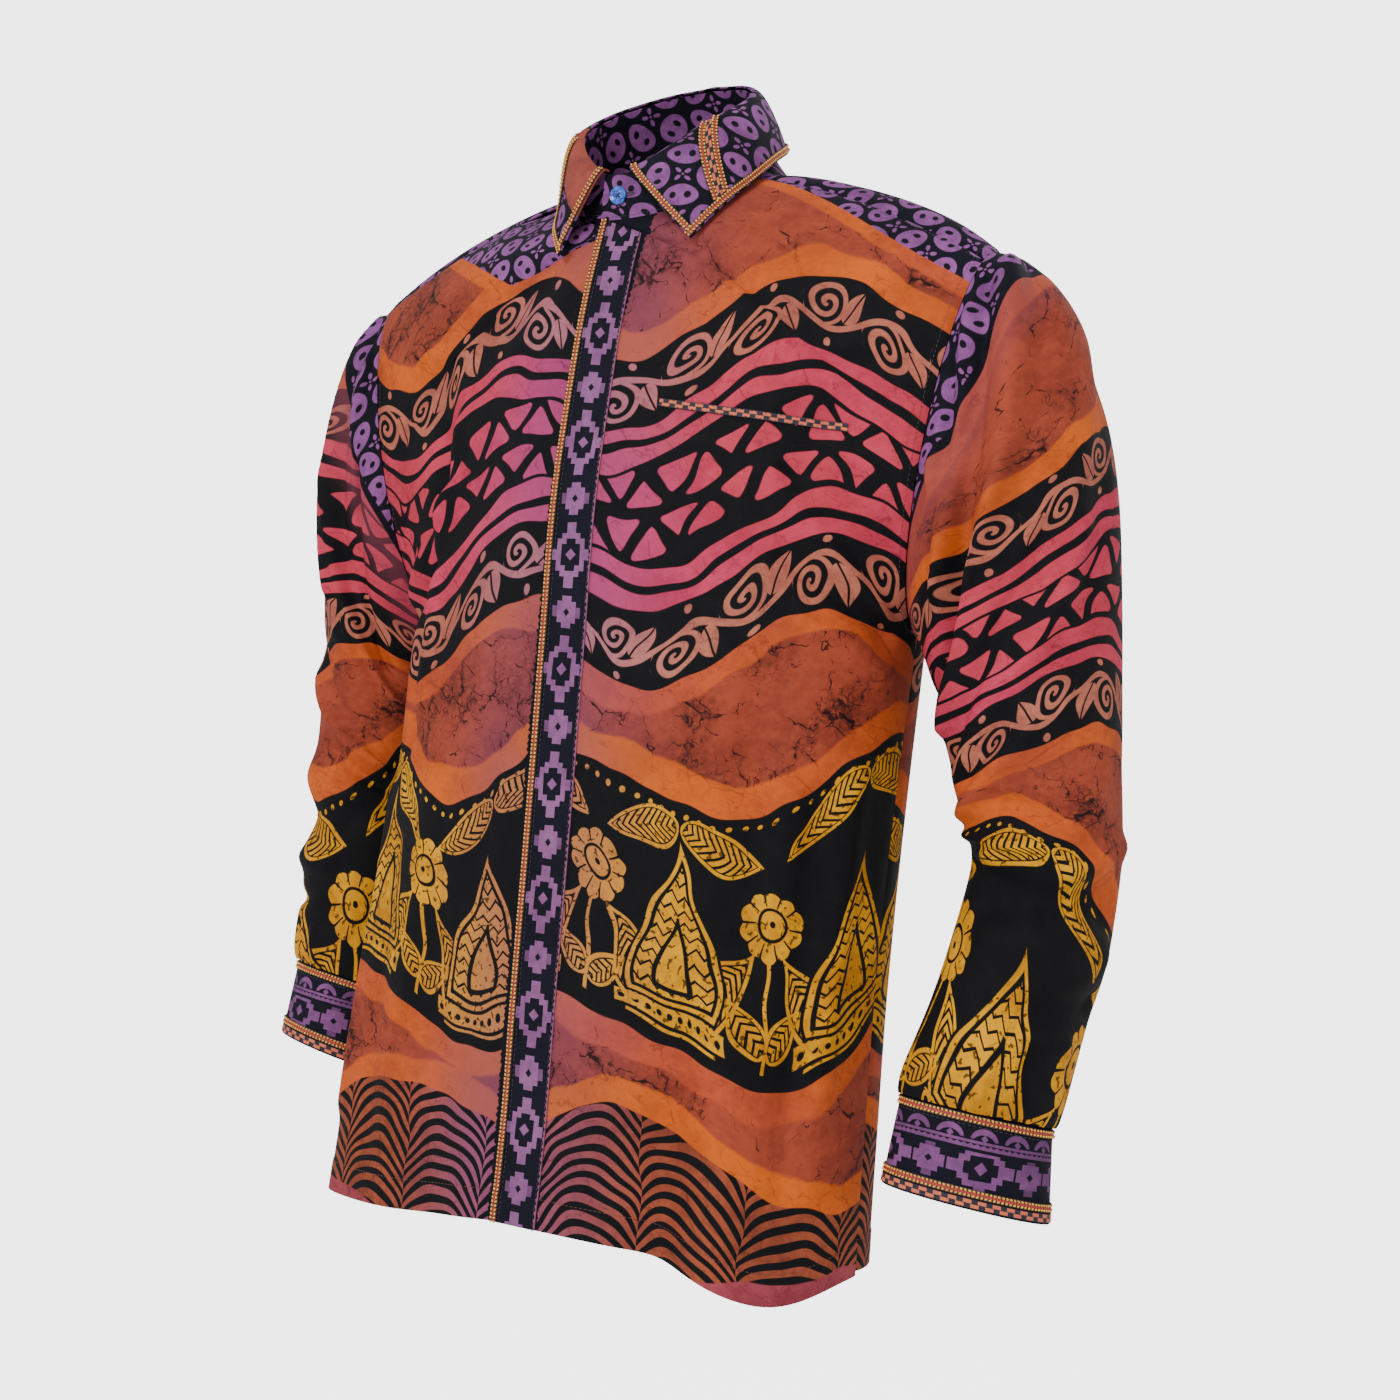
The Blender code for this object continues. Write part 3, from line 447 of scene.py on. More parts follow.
def laid_flat(grid, u, v, rounds=500):
    """Lays a panel flat: springs along rows, columns and diagonals pull it to its true lengths."""
    guess = np.stack([u, v], axis=-1)
    rows = np.linspace(0, grid.shape[0] - 1, 25)
    columns = np.linspace(0, grid.shape[1] - 1, 19)
    solid, flat = resampled(grid, rows, columns), resampled(guess, rows, columns)
    start = flat.copy()
    whole = slice(None)
    springs = []
    for a, b in (
        ((slice(1, None), whole), (slice(None, -1), whole)),
        ((whole, slice(1, None)), (whole, slice(None, -1))),
        ((slice(1, None), slice(1, None)), (slice(None, -1), slice(None, -1))),
        ((slice(1, None), slice(None, -1)), (slice(None, -1), slice(1, None))),
    ):
        springs.append((a, b, np.linalg.norm(solid[a] - solid[b], axis=-1)))
    for _ in range(rounds):
        push = np.zeros_like(flat)
        for a, b, rest in springs:
            gap = flat[a] - flat[b]
            length = np.linalg.norm(gap, axis=-1)
            pull = 0.5 * ((rest - length) / length)[..., None] * gap
            push[a] += pull
            push[b] -= pull
        flat = flat + push / 4
    a, b = flat.reshape(-1, 2), start.reshape(-1, 2)
    a, shift = a - a.mean(0), b.mean(0)
    cross = (a[:, 0] * (b - shift)[:, 1] - a[:, 1] * (b - shift)[:, 0]).sum()
    turn = math.atan2(cross, (a * (b - shift)).sum())
    spin = np.array([[math.cos(turn), math.sin(turn)], [-math.sin(turn), math.cos(turn)]])
    flat = (a @ spin + shift).reshape(flat.shape)
    fine_rows = np.linspace(0, len(rows) - 1, grid.shape[0])
    fine_columns = np.linspace(0, len(columns) - 1, grid.shape[1])
    return resampled(flat, fine_rows, fine_columns)


def measured(grid):
    """Metres across from the first column, up from the first row, and across from the middle."""
    across, up = lengths(grid, 1), lengths(grid, 0)
    return across, up, across - across[:, -1:] / 2


def flat_area(flat):
    """The area of a panel's flat pattern, in square metres."""
    a, b, c, d = flat[:-1, :-1], flat[:-1, 1:], flat[1:, 1:], flat[1:, :-1]
    u, v = c - a, d - b
    return float(abs(u[..., 0] * v[..., 1] - u[..., 1] * v[..., 0]).sum() / 2)


def flat_size(flat):
    """The width and length of the smallest upright rectangle that the flat pattern fits."""
    return tuple(float(x) for x in np.ptp(flat.reshape(-1, 2), axis=0))


# %% [markdown]
# ## A helper that makes one piece
# The outer face of a piece is its grid. A Solidify modifier gives the thickness inwards,
# which is quicker and cleaner than building the inner wall by hand. The result is made a
# plain mesh, the flat coordinates become a UV map named cloth, and the edge of the cloth
# is shaded as a hard edge.

# %% Make a cloth piece
UV = "cloth"
PIECES = {}


def plain(obj):
    """Applies the modifiers of an object and leaves a plain mesh of the same name."""
    graph = bpy.context.evaluated_depsgraph_get()
    mesh = bpy.data.meshes.new_from_object(obj.evaluated_get(graph), depsgraph=graph)
    obj.modifiers.clear()
    old, obj.data = obj.data, mesh
    bpy.data.meshes.remove(old)
    return obj


def new_object(name, mesh):
    obj = bpy.data.objects.new(name, mesh)
    bpy.context.scene.collection.objects.link(obj)
    return obj


def cloth_piece(name, grid, flat, facing=1, closed=False, thickness=CLOTH, stored=None):
    """A shell on a grid of points, with the flat pattern as its UV map and named point values."""
    rows, columns = grid.shape[:2]
    wrap = columns - 1 if closed else columns
    i, j = np.meshgrid(np.arange(rows - 1), np.arange(columns - 1), indexing="ij")
    i, j = i.ravel(), j.ravel()
    corners = [(i, j), (i, j + 1), (i + 1, j + 1), (i + 1, j)]
    if facing < 0:
        corners = corners[::-1]
    faces = np.stack([r * wrap + (c % wrap) for r, c in corners], axis=-1)
    uvs = np.stack([flat[r, c] for r, c in corners], axis=1)
    mesh = bpy.data.meshes.new(name)
    mesh.from_pydata(grid[:, :wrap].reshape(-1, 3).tolist(), [], faces.tolist())
    mesh.uv_layers.new(name=UV).data.foreach_set("uv", uvs.astype(np.float32).ravel())
    for key, values in (stored or {}).items():
        made = mesh.attributes.new(key, "FLOAT", "POINT")
        made.data.foreach_set("value", values[:, :wrap].astype(np.float32).ravel())
    mesh.shade_smooth()
    obj = new_object(name, mesh)
    wall = obj.modifiers.new("thickness", "SOLIDIFY")
    wall.thickness, wall.offset = thickness, -1
    plain(obj)
    obj.data.set_sharp_from_angle(angle=math.radians(60))
    PIECES[name] = obj
    print(f"{name}: {len(obj.data.polygons)} faces, flat {flat_area(flat):.3f} m2")
    return obj


def raised(grid, rise, facing, closed=False):
    """The grid moved along its own outward direction by so many metres."""
    return grid + grid_normals(grid, facing, closed) * np.asarray(rise)[..., None]


def folds(rows, u, v, turn_radius=None):
    """Total height of a table of folds, each a soft ridge or trough along a line."""
    rise = 0.0
    for u0, v0, u1, v1, width, height in zip(*rows.values()):
        rise = rise + fold_height((u0, v0), (u1, v1), width, height, u, v, turn_radius)
    return rise


print("cloth helpers ready")

# %% [markdown]
# ## The body
# Two fronts, a back and a yoke make the body. A front's rows run from the closing edge to
# the side seam, and above the armpit from the neck to the armhole. The yoke spans from the
# back seam over the shoulders to the fronts. Worn cloth is never smooth: it pulls from the
# armpit towards the chest, falls in soft upright folds below it, and rolls at the hem. Each
# such fold is one row of a table, in millimetres of flat cloth.

# %% The fronts
BODY_CREASES = {
    LEFT: millimetres(FOLD, """
        222 405 150 470 9 3
        226 385 160 425 8 -3
        228 360 172 385 8 2.2
        205 520 165 470 10 -2.6
        185 560 140 500 12 2.2
        215 300 205 100 11 3
        190 280 184 60 10 -2.4
        150 350 156 150 13 -2.2
        128 330 118 180 12 2
        80 300 86 120 14 -1.8
        60 200 56 30 12 1.6
        60 620 110 600 10 -1.6
        45 600 90 560 10 1.4
    """),
    RIGHT: millimetres(FOLD, """
        205 400 140 455 9 3
        210 378 150 412 8 -3
        190 520 150 468 10 -2.4
        170 555 125 500 12 2
        200 260 196 60 11 2.6
        165 230 158 40 11 -2.2
        120 300 128 130 13 1.8
        75 280 70 100 13 -1.6
        60 615 105 590 10 -1.6
        50 590 95 550 10 1.4
    """),
}
CREASE_SHARE = 1.6  # how strongly the creases stand out
HEM, HEM_STEP = 0.019, 0.0006  # depth of the turned hem, and how far it stands out
SEAM_ROLL = 0.0007  # how far an edge dips into its seam


def seam_dip(distance, reach=0.005):
    """The cloth's edge dips as it turns into a seam."""
    return -SEAM_ROLL * (1 - ramp(distance, 0, reach))


def hem_step(up):
    """The turned hem is thicker by one layer of cloth."""
    return HEM_STEP * (1 - ramp(up, HEM - 0.002, HEM + 0.002))


def front_row(side, share, s):
    """A whole row of a front's cloth at once."""
    inner, outer = front_inner(side, share), outer_edge(side, share, PIT_SHARE, (180, YOKE_FRONT))
    across, out, high, weight = row_of(FRONT_BOW, FRONT_BOW["share"], share, "across out high weight")
    corner = inner + (outer - inner) * (across, 0, high) - (0, out, 0)
    corner[0] += side * FLARE[side] * max(0, 1 - share / PIT_SHARE)
    return conic(inner, corner, outer, weight, s[:, None])


def make_front(side):
    fine = np.linspace(0, 1, 121)
    shares = panel_rows(FRONT_ROWS, 0, PIT_SHARE, NECK_SHARE, 1)
    grid = np.array([spread(front_row(side, share, fine), 84) for share in shares])
    across, up, _ = measured(grid)
    top = grid[:, 0] - grid[np.searchsorted(shares, NECK_SHARE), 0]
    offset = np.where(shares > NECK_SHARE, side * top[:, 0], 0)
    flat = laid_flat(grid, across + offset[:, None], up)
    spot, width, depth = HEM_DIP[side]
    dip = depth * np.exp(-(((across - spot) / width) ** 2)) * (1 - ramp(up, 0, 0.20))
    rise = folds(FRONT_FOLDS[side], across, up)
    rise = rise * ramp(across[:, -1:] - across, 0.0, 0.03)
    fade = ramp(across[:, -1:] - across, 0, 0.02) * ramp(up[-1] - up, 0, 0.03)
    rise += CREASE_SHARE * fade * folds(BODY_CREASES[side], across, up)
    if side == RIGHT:
        rise -= LAP_DROP * (1 - ramp(across, 2 * LAP, 4 * LAP))
    rise += hem_step(up)
    rise += seam_dip(across[:, -1:] - across) + seam_dip(up[-1] - up)
    formed = raised(grid, rise, side) - dip[..., None] * (0, 0, 1)
    return formed, flat, across, up


FRONTS = {side: make_front(side) for side in SIDES}
for side, name in SIDES.items():
    cloth_piece(f"shirt_front_{name}", *FRONTS[side][:2], facing=side)

# %% The back and the yoke
BACK_CREASES = millimetres(FOLD, """
    -170 400 -110 470 10 3.2
    -175 370 -120 410 9 -3
    168 395 112 455 10 3
    176 365 125 400 9 -2.8
    -120 330 -128 60 14 3.4
    -85 300 -80 40 13 -3
    -35 340 -45 80 15 2.6
    20 360 12 60 14 -2.8
    70 310 82 50 14 3.4
    118 290 122 30 13 -2.8
    150 230 148 20 11 2.2
    -100 500 0 475 13 -2.2
    10 520 110 500 13 2.2
""")
YOKE_CREASES = millimetres(FOLD, """
    -150 80 -90 60 10 1.4
    155 75 95 60 10 1.4
    -40 30 40 32 9 -1.2
""")


def back_row(share, s):
    """A whole row of the back's cloth, from the wearer's left edge to the right one."""
    low, high = CENTRE_BACK["z"][[0, -1]]
    middle = centre_line(CENTRE_BACK, low + (high - low) * share)
    across, out, rise, weight = row_of(BACK_BOW, BACK_BOW["share"], share, "across out high weight")
    parts = []
    for side, half in ((LEFT, s[s < 0.5]), (RIGHT, s[s >= 0.5])):
        edge = outer_edge(side, share, BACK_PIT_SHARE, (-180, -YOKE_BACK))
        corner = middle + (edge - middle) * (across, 0, rise) + (0, out, 0)
        parts.append(conic(middle, corner, edge, weight, abs(2 * half - 1)[:, None]))
    return np.concatenate(parts)


def make_back():
    fine = np.linspace(0, 1, 241)
    shares = panel_rows(BACK_ROWS, 0, BACK_PIT_SHARE, 1)
    grid = np.array([spread(back_row(share, fine), 150) for share in shares])
    across, up, middle = measured(grid)
    flat = laid_flat(grid, middle, up)
    edge = np.minimum(across, across[:, -1:] - across)
    rise = 1.3 * CREASE_SHARE * folds(BACK_CREASES, middle, up)
    rise *= ramp(edge, 0, 0.02) * ramp(up[-1] - up, 0, 0.03)
    rise += hem_step(up)
    rise += seam_dip(edge) + seam_dip(up[-1] - up)
    return raised(grid, rise, 1), flat


def make_yoke():
    """Rows from the back seam over the shoulders to the front seams and the neck."""
    seam, neck = np.linspace(0, 1, 45), np.linspace(NECK_POINT, 360 - NECK_POINT, 71)
    sides = 0.33 * seam[:-1]
    s = np.concatenate([sides, np.linspace(0.33, 0.67, len(neck)), 1 - sides[::-1]])
    left, right = (front_row(side, 1, seam) for side in SIDES)
    tops = np.concatenate([left[::-1][:-1], [neck_seam(angle) for angle in neck], right[1:]])
    turns = np.linspace(-YOKE_BACK, YOKE_FRONT, 37)
    lows = back_row(1, s)
    f = np.linspace(0, 1, len(turns))[:, None]
    grid = np.zeros((len(turns), len(s), 3))
    for column, (at, top, low) in enumerate(zip(s, tops, lows)):
        side = LEFT if at < 0.5 else RIGHT
        arc = np.array([armhole(side, turn) for turn in turns])
        roundness = arc - (arc[0] + f * (arc[-1] - arc[0]))
        bow = smooth(YOKE_BOW["s"], YOKE_BOW["bow"], min(at, 1 - at))
        grid[:, column] = low + f * (top - low) + bow * roundness
    across, up, middle = measured(grid)
    flat = laid_flat(grid, middle, up)
    edge = np.minimum(np.minimum(across, across[:, -1:] - across), np.minimum(up, up[-1] - up))
    rise = folds(YOKE_CREASES, middle, up) + seam_dip(edge)
    return raised(grid, rise, 1), flat


BACK, YOKE = make_back(), make_yoke()
cloth_piece("shirt_back", *BACK)
cloth_piece("shirt_yoke", *YOKE)

# %% [markdown]
# ## The sleeves and cuffs
# A sleeve is one flat piece, closed by a seam under the arm. Its grid starts and ends at
# that seam, so that the print breaks there as it does on a real sleeve. The arm bends, so
# the cloth bunches inside the elbow, and it is pleated where it enters the cuff.

# %% The sleeves
SLEEVE_CREASES = {
    LEFT: table(FOLD, """
        6 0.08 78 0.33 0.009 -0.0030
        18 0.05 92 0.29 0.008 0.0034
        34 0.035 108 0.255 0.0065 -0.0038
        48 0.03 118 0.215 0.0060 0.0034
        66 0.03 124 0.165 0.0055 -0.0030
        128 0.27 94 0.07 0.006 0.0036
        138 0.33 82 0.12 0.007 -0.0042
        146 0.40 68 0.23 0.008 0.0040
        150 0.45 58 0.34 0.009 -0.0036
        -20 0.22 30 0.40 0.012 -0.0022
        30 0.36 80 0.46 0.010 0.0028
        60 0.44 130 0.50 0.010 -0.0034
        80 0.50 150 0.545 0.009 0.0036
        110 0.555 60 0.60 0.009 -0.0034
        150 0.585 90 0.635 0.008 0.0034
        0 0.64 60 0.675 0.009 0.0026
        100 0.685 150 0.660 0.008 -0.0030
        10 0.800 90 0.830 0.010 -0.0034
        40 0.850 110 0.865 0.010 0.0030
        60 1.0 66 0.86 0.005 -0.0030
        95 1.0 92 0.87 0.005 0.0024
        -40 1.0 -36 0.84 0.006 -0.0030
        -75 1.0 -80 0.88 0.006 0.0024
        -120 0.12 -70 0.34 0.012 0.0030
        -150 0.20 -110 0.42 0.011 -0.0030
        -100 0.50 -30 0.56 0.012 -0.0026
        -110 0.60 -40 0.66 0.012 0.0026
    """),
    RIGHT: table(FOLD, """
        12 0.06 84 0.32 0.009 0.0032
        30 0.04 100 0.27 0.007 -0.0034
        50 0.03 112 0.21 0.006 0.0030
        140 0.30 84 0.11 0.007 -0.0040
        146 0.38 70 0.22 0.008 0.0036
        20 0.40 90 0.47 0.010 -0.0028
        50 0.48 130 0.53 0.009 0.0034
        90 0.55 150 0.585 0.008 -0.0032
        20 0.72 100 0.75 0.010 0.0030
        30 0.80 110 0.82 0.010 -0.0028
        60 1.0 64 0.86 0.005 -0.0028
        100 1.0 96 0.87 0.005 0.0022
        -50 1.0 -46 0.85 0.006 -0.0028
        -120 0.14 -70 0.36 0.012 0.0030
        -150 0.24 -110 0.44 0.011 -0.0028
        -100 0.54 -30 0.60 0.012 0.0026
    """),
}
SLEEVE_LENGTH, SLEEVE_RADIUS = 0.56, 0.055
HEAD_STRIP = 0.036  # depth of the kawung strip under the armhole seam, at its deepest


def ring_rows(rows):
    return np.stack(list(rows.values()), axis=-1)


def make_sleeve(side):
    turns = np.linspace(-180, 180, 121)
    rings = ring_rows(SLEEVE[side])
    lines = np.array([[armhole(side, turn)] + [ring_point(row, turn) for row in rings] for turn in turns])
    stations = np.linspace(0, len(rings), 185)
    grid = np.array([smooth(np.arange(len(rings) + 1), lines.swapaxes(0, 1), at) for at in stations])
    down = np.linspace(0, 1, len(stations))[:, None] * np.ones(len(turns))
    at = (turns[None, :], down * SLEEVE_LENGTH, SLEEVE_RADIUS)
    rise = 0.0
    for rows, share in ((SLEEVE_FOLDS[side], 1.0), (SLEEVE_CREASES[side], CREASE_SHARE)):
        scaled = dict(rows, v0=rows["v0"] * SLEEVE_LENGTH, v1=rows["v1"] * SLEEVE_LENGTH)
        rise = rise + share * folds(scaled, *at)
    rise = rise * ramp(down, 0.0, 0.035) * (1 - 0.7 * ramp(down, 0.95, 1.0))
    across, run, middle = measured(grid)
    rise += seam_dip(run) + seam_dip(run[-1] - run, 0.003)
    flat = laid_flat(grid, middle, run[-1] - run)
    wrapped = grid_normals(grid[:, :-1], side, closed=True)
    normals = np.concatenate([wrapped, wrapped[:, :1]], axis=1)
    strip = HEAD_STRIP * (1 - ramp(np.abs(turns - 20), 40, 115)) - 0.002
    stored = {"head": run - strip, "middle": run - strip / 2, "round": across}
    return grid + normals * rise[..., None], flat, stored


SLEEVES = {side: make_sleeve(side) for side in SIDES}
for side, name in SIDES.items():
    formed, flat, stored = SLEEVES[side]
    cloth_piece(f"shirt_sleeve_{name}", formed, flat, facing=side, closed=True, stored=stored)

# %% The cuffs
def make_cuff(side):
    """A band that laps over itself at the back of the wrist, its first end underneath."""
    turns = np.linspace(CUFF_START, CUFF_START + 360 + CUFF_LAP, 131)
    top, bottom = (np.array([ring_point(row, turn) for turn in turns]) for row in ring_rows(CUFF[side]))
    grid = np.array([top + (bottom - top) * f for f in np.linspace(0, 1, 19)])
    under = LAP_DROP * (ramp(turns, turns[-1] - 2 * CUFF_LAP, turns[-1] - CUFF_LAP) - 1)
    across, down, middle = measured(grid)
    bulge = 0.0008 * np.sin(np.pi * down / down[-1]) + 0.0009 * np.sin(across / 0.021) * np.sin(down / 0.017)
    flat = laid_flat(grid, middle, down[-1].mean() - down)
    return raised(grid, under[None, :] + bulge, side), flat


CUFFS = {side: make_cuff(side) for side in SIDES}
for side, name in SIDES.items():
    cloth_piece(f"shirt_cuff_{name}", *CUFFS[side], facing=side, thickness=1.5 * CLOTH)

# %% [markdown]
# ## The collar
# A shirt collar has two parts. The stand rises from the neck seam and is buttoned in front,
# and the leaf folds over its top and falls outside it to two points. Both are stiffened
# inside, so they are smooth and a little thicker than the shirt's cloth.

# %% The stand and the leaf
def fold_point(angle, out=0.0, down=0.0):
    """On the line where the collar folds over, moved outwards and down."""
    a = math.radians(angle)
    z = smooth(FOLD_LINE["angle"], FOLD_LINE["z"], abs((angle + 180) % 360 - 180))
    x = (FOLD_HALF_WIDTH + out) * math.sin(a)
    return np.array([x, FOLD_Y - (FOLD_HALF_DEPTH + out) * math.cos(a), z - down])


def make_stand():
    """From the neck seam up to just under the fold; the left end laps over the right one."""
    angles = np.linspace(neck_corner(LEFT), 360 + neck_corner(RIGHT), 151)
    under = -LAP_DROP * ramp(angles, 310, 345)
    base = np.array([neck_seam(angle, out) for angle, out in zip(angles, under)])
    top = np.array([fold_point(angle, out - STAND_INSET, STAND_INSET) for angle, out in zip(angles, under)])
    grid = np.array([base + (top - base) * f for f in np.linspace(0, 1, 15)])
    across, up, _ = measured(grid)
    rise = 0.0008 * np.sin(np.pi * up / up[-1])
    return raised(grid, rise, 1), laid_flat(grid, across, up)


def make_leaf():
    """From above the stand, over the fold and down to the leaf's lower edge."""
    lines = []
    for angle in np.linspace(LEAF_START, LEAF_END, 181):
        edge = row_of(LEAF_EDGE, LEAF_EDGE["angle"], angle)
        corner = fold_point(angle, LEAF_BULGE, LEAF_BULGE / 3)
        roll = [fold_point(angle, *at) for at in ((-0.0036, 0.0004), (-0.0024, 0.0), (-0.0012, -0.0003))]
        start = fold_point(angle, 0.0008, 0.0004)
        fall = [conic(start, corner, edge, LEAF_WEIGHT, f) for f in np.linspace(0, 1, 23)]
        lines.append(roll + [fold_point(angle, -0.0001, -0.0001)] + fall)
    grid = np.array(lines).swapaxes(0, 1)
    across, down, _ = measured(grid)
    rise = 0.0006 * np.sin(across / 0.024) * np.sin(np.pi * down / down[-1])
    return raised(grid, rise, -1), laid_flat(grid, across, down[-1].mean() - down)


STAND, COLLAR = make_stand(), make_leaf()
cloth_piece("shirt_collar_stand", *STAND, thickness=1.2 * CLOTH)
# How far a point of the leaf lies inside its plain rust part, above the right point.
RUST_LENGTH, RUST_DEPTH = 0.075, 0.034
from_front = np.abs(lengths(COLLAR[0], 1)[:, -1:] - lengths(COLLAR[0], 1))
rust_edge = RUST_DEPTH - 0.25 * (from_front - 0.02)
plain_rust = np.minimum(RUST_LENGTH - from_front, rust_edge - lengths(COLLAR[0], 0))
cloth_piece("shirt_collar_leaf", *COLLAR, facing=-1, thickness=1.2 * CLOTH, stored={"rust": plain_rust})

# %% [markdown]
# ## Strips sewn on the cloth
# The placket strip, the braids and the tapes are narrow bands that lie on a panel. Each
# is read off the panel's own grid, between two lines in grid rows and columns, and lifted
# by its thickness. So it follows every fold of the cloth under it, with no fitting.

# %% Read lines off a panel
def bent(values, rows, columns):
    """Values of a grid at arrays of fractional (row, column) places."""
    rows = np.clip(np.asarray(rows, float), 0, values.shape[0] - 1.001)
    columns = np.clip(np.asarray(columns, float), 0, values.shape[1] - 1.001)
    i, j = rows.astype(int), columns.astype(int)
    f, g = (rows - i)[..., None], (columns - j)[..., None]
    low = values[i, j] * (1 - g) + values[i, j + 1] * g
    high = values[i + 1, j] * (1 - g) + values[i + 1, j + 1] * g
    return low * (1 - f) + high * f


def laid_on(grid, facing, rows, columns, lift):
    """Points above a panel, and its outward directions there."""
    normals = unit(bent(grid_normals(grid, facing), rows, columns))
    return bent(grid, rows, columns) + lift * normals, normals


def between(near, far, count=4):
    """Places from one line to another, as rows of a strip's grid."""
    f = np.linspace(0, 1, count)[:, None]
    return np.asarray(near)[None, :] * (1 - f) + np.asarray(far)[None, :] * f


def place_at(distance, line):
    """The fractional place that lies so far along one line of growing lengths."""
    return np.interp(distance, line, np.arange(len(line)))


def at_length(run, distance):
    """The same for each line of a grid of lengths."""
    return np.array([place_at(distance, line) for line in run])


def strip(name, grid, facing, rows, columns, lift, thickness=TRIM):
    """A band over the given rows and columns, and its middle line and outward directions."""
    points, normals = laid_on(grid, facing, rows, columns, lift)
    across, along = lengths(points, 0), lengths(points, 1)
    flat = np.stack([across - across[-1:] / 2, along], axis=-1)
    turn = np.cross(points[0, 1] - points[0, 0], points[1, 0] - points[0, 0]) @ normals[0, 0]
    cloth_piece(name, points, flat, facing=1 if turn > 0 else -1, thickness=thickness)
    at = np.arange(points.shape[1])
    middle = (points.shape[0] - 1) / 2
    line = bent(points, np.full(len(at), middle), np.minimum(at, len(at) - 1.001))
    return line, normals[points.shape[0] // 2], flat


# %% The placket strip and its braid
PLACKET_LIFT = 0.0010
front, _, front_across, _ = FRONTS[LEFT]
top_row = sum(FRONT_ROWS[:2])
front_rows = np.arange(0, top_row + 1, dtype=float)
strip_rows = np.tile(front_rows, (11, 1))


def front_column(distance):
    """Columns of the left front, row by row, at a distance from its closing edge."""
    return at_length(front_across[: top_row + 1], distance)


columns = between(front_column(0.0003), front_column(PLACKET_WIDTH), 11)
PLACKET = strip("shirt_placket", front, LEFT, strip_rows, columns, PLACKET_LIFT)

braid_lift = PLACKET_LIFT + TRIM
columns = between(front_column(0.0006), front_column(0.0006 + BRAID_WIDTH))
made = strip("placket_braid_band", front, LEFT, strip_rows[:4], columns, braid_lift)
PATHS = {"placket_braid": [made]}

# %% The cuffs' braids and tapes
CUFF_LIFT = 0.0009
for side, name in SIDES.items():
    grid = CUFFS[side][0]
    down = lengths(grid, 0)
    turns = np.linspace(CUFF_START, CUFF_START + 360 + CUFF_LAP, grid.shape[1])
    seen = np.arange(np.searchsorted(turns, CUFF_START + CUFF_LAP + 5), grid.shape[1], dtype=float)
    depth = down[-1, seen.astype(int)]
    for part, start, width in (
        ("braid_top", 0.001, BRAID_WIDTH),
        ("braid_low", -0.0115, BRAID_WIDTH),
        ("tape", -0.0060, TAPE_WIDTH),
    ):
        starts = np.full(len(seen), start) if start > 0 else depth + start
        lines = down[:, seen.astype(int)].T
        rows = [[place_at(at + extra, line) for at, line in zip(starts, lines)] for extra in (0, width)]
        places = between(*rows), np.tile(seen, (4, 1))
        made = strip(f"cuff_{part}_{name}_band", grid, side, *places, CUFF_LIFT)
        if "braid" in part:
            PATHS.setdefault(f"cuff_braids_{name}", []).append(made)

# %% The collar's braids and tapes
leaf = COLLAR[0]
leaf_down = lengths(leaf, 0)
last = leaf.shape[1] - 1
FOLD_ROW, MIDDLE_ROW = 5, 16  # rows of the leaf just past its fold, and about halfway down


def above_edge(columns, distance):
    """Rows that lie so far above the leaf's lower edge."""
    run = resampled(leaf_down[..., None], np.arange(len(leaf_down)), columns)[..., 0]
    return np.array([place_at(line[-1] - distance, line) for line in run.T])


def leaf_column(angle):
    return (angle - LEAF_START) / (LEAF_END - LEAF_START) * last


leaf_middle = lengths(leaf[MIDDLE_ROW], 0)


def column_past(column, width):
    """The column that lies a width further along the leaf's middle."""
    start = np.interp(column, np.arange(last + 1), leaf_middle)
    return float(place_at(start + width, leaf_middle))


edge = np.linspace(0, last, 241)
rows = between(above_edge(edge, 0.0008 + BRAID_WIDTH), above_edge(edge, 0.0008))
COLLAR_LIFT = 0.0010
made = strip("collar_braid_edge_band", leaf, -1, rows, np.tile(edge, (4, 1)), COLLAR_LIFT)
PATHS["collar_braids"] = [made]
TAPE_ANGLE = 36.0  # degrees from centre front
TAPE_SLANT = 1.7 * 180 / 31  # columns that a tape leans back on its way up


def riser(name, near, far, slant, lift):
    """A strip that climbs the leaf from its edge braid to the fold, leaning back on its way."""
    columns, rows = [], []
    for column in np.linspace(near, far, 4):
        low = above_edge([np.clip(column + slant, 0, last)], 0.0007 + BRAID_WIDTH)[0]
        climb = np.linspace(0, 1, 33)
        rows.append(low + (FOLD_ROW - low) * climb)
        columns.append(column + slant * climb)
    return strip(f"{name}_band", leaf, -1, np.array(rows), np.array(columns), lift)


for side, name in SIDES.items():
    front_edge = 0.3 if side == LEFT else last - 0.3
    ends = front_edge, column_past(front_edge, side * BRAID_WIDTH)
    PATHS["collar_braids"].append(riser(f"collar_braid_front_{name}", *ends, 0, COLLAR_LIFT))
    column = leaf_column(TAPE_ANGLE if side == LEFT else 360 - TAPE_ANGLE)
    for part, width in (("braid_fore", BRAID_WIDTH), ("tape", TAPE_WIDTH), ("braid_aft", BRAID_WIDTH)):
        end = column_past(column, side * width)
        made = riser(f"collar_{part}_{name}", column, end, side * TAPE_SLANT, COLLAR_LIFT)
        if "braid" in part:
            PATHS["collar_braids"].append(made)
        column = end

# %% The pocket's tape
POCKET_X, POCKET_Z = (0.053, 0.163), (-0.172, -0.188)
POCKET_LIFT = 0.0010


def place_under(grid, x, z):
    """The fractional (row, column) of a panel that lies at this x and z."""
    row, column = len(grid) / 2, grid.shape[1] / 2
    for _ in range(8):
        row = place_at(z, bent(grid, np.arange(len(grid)), np.full(len(grid), column))[:, 2])
        column = place_at(x, bent(grid, np.full(grid.shape[1], row), np.arange(grid.shape[1]))[:, 0])
    return row, column


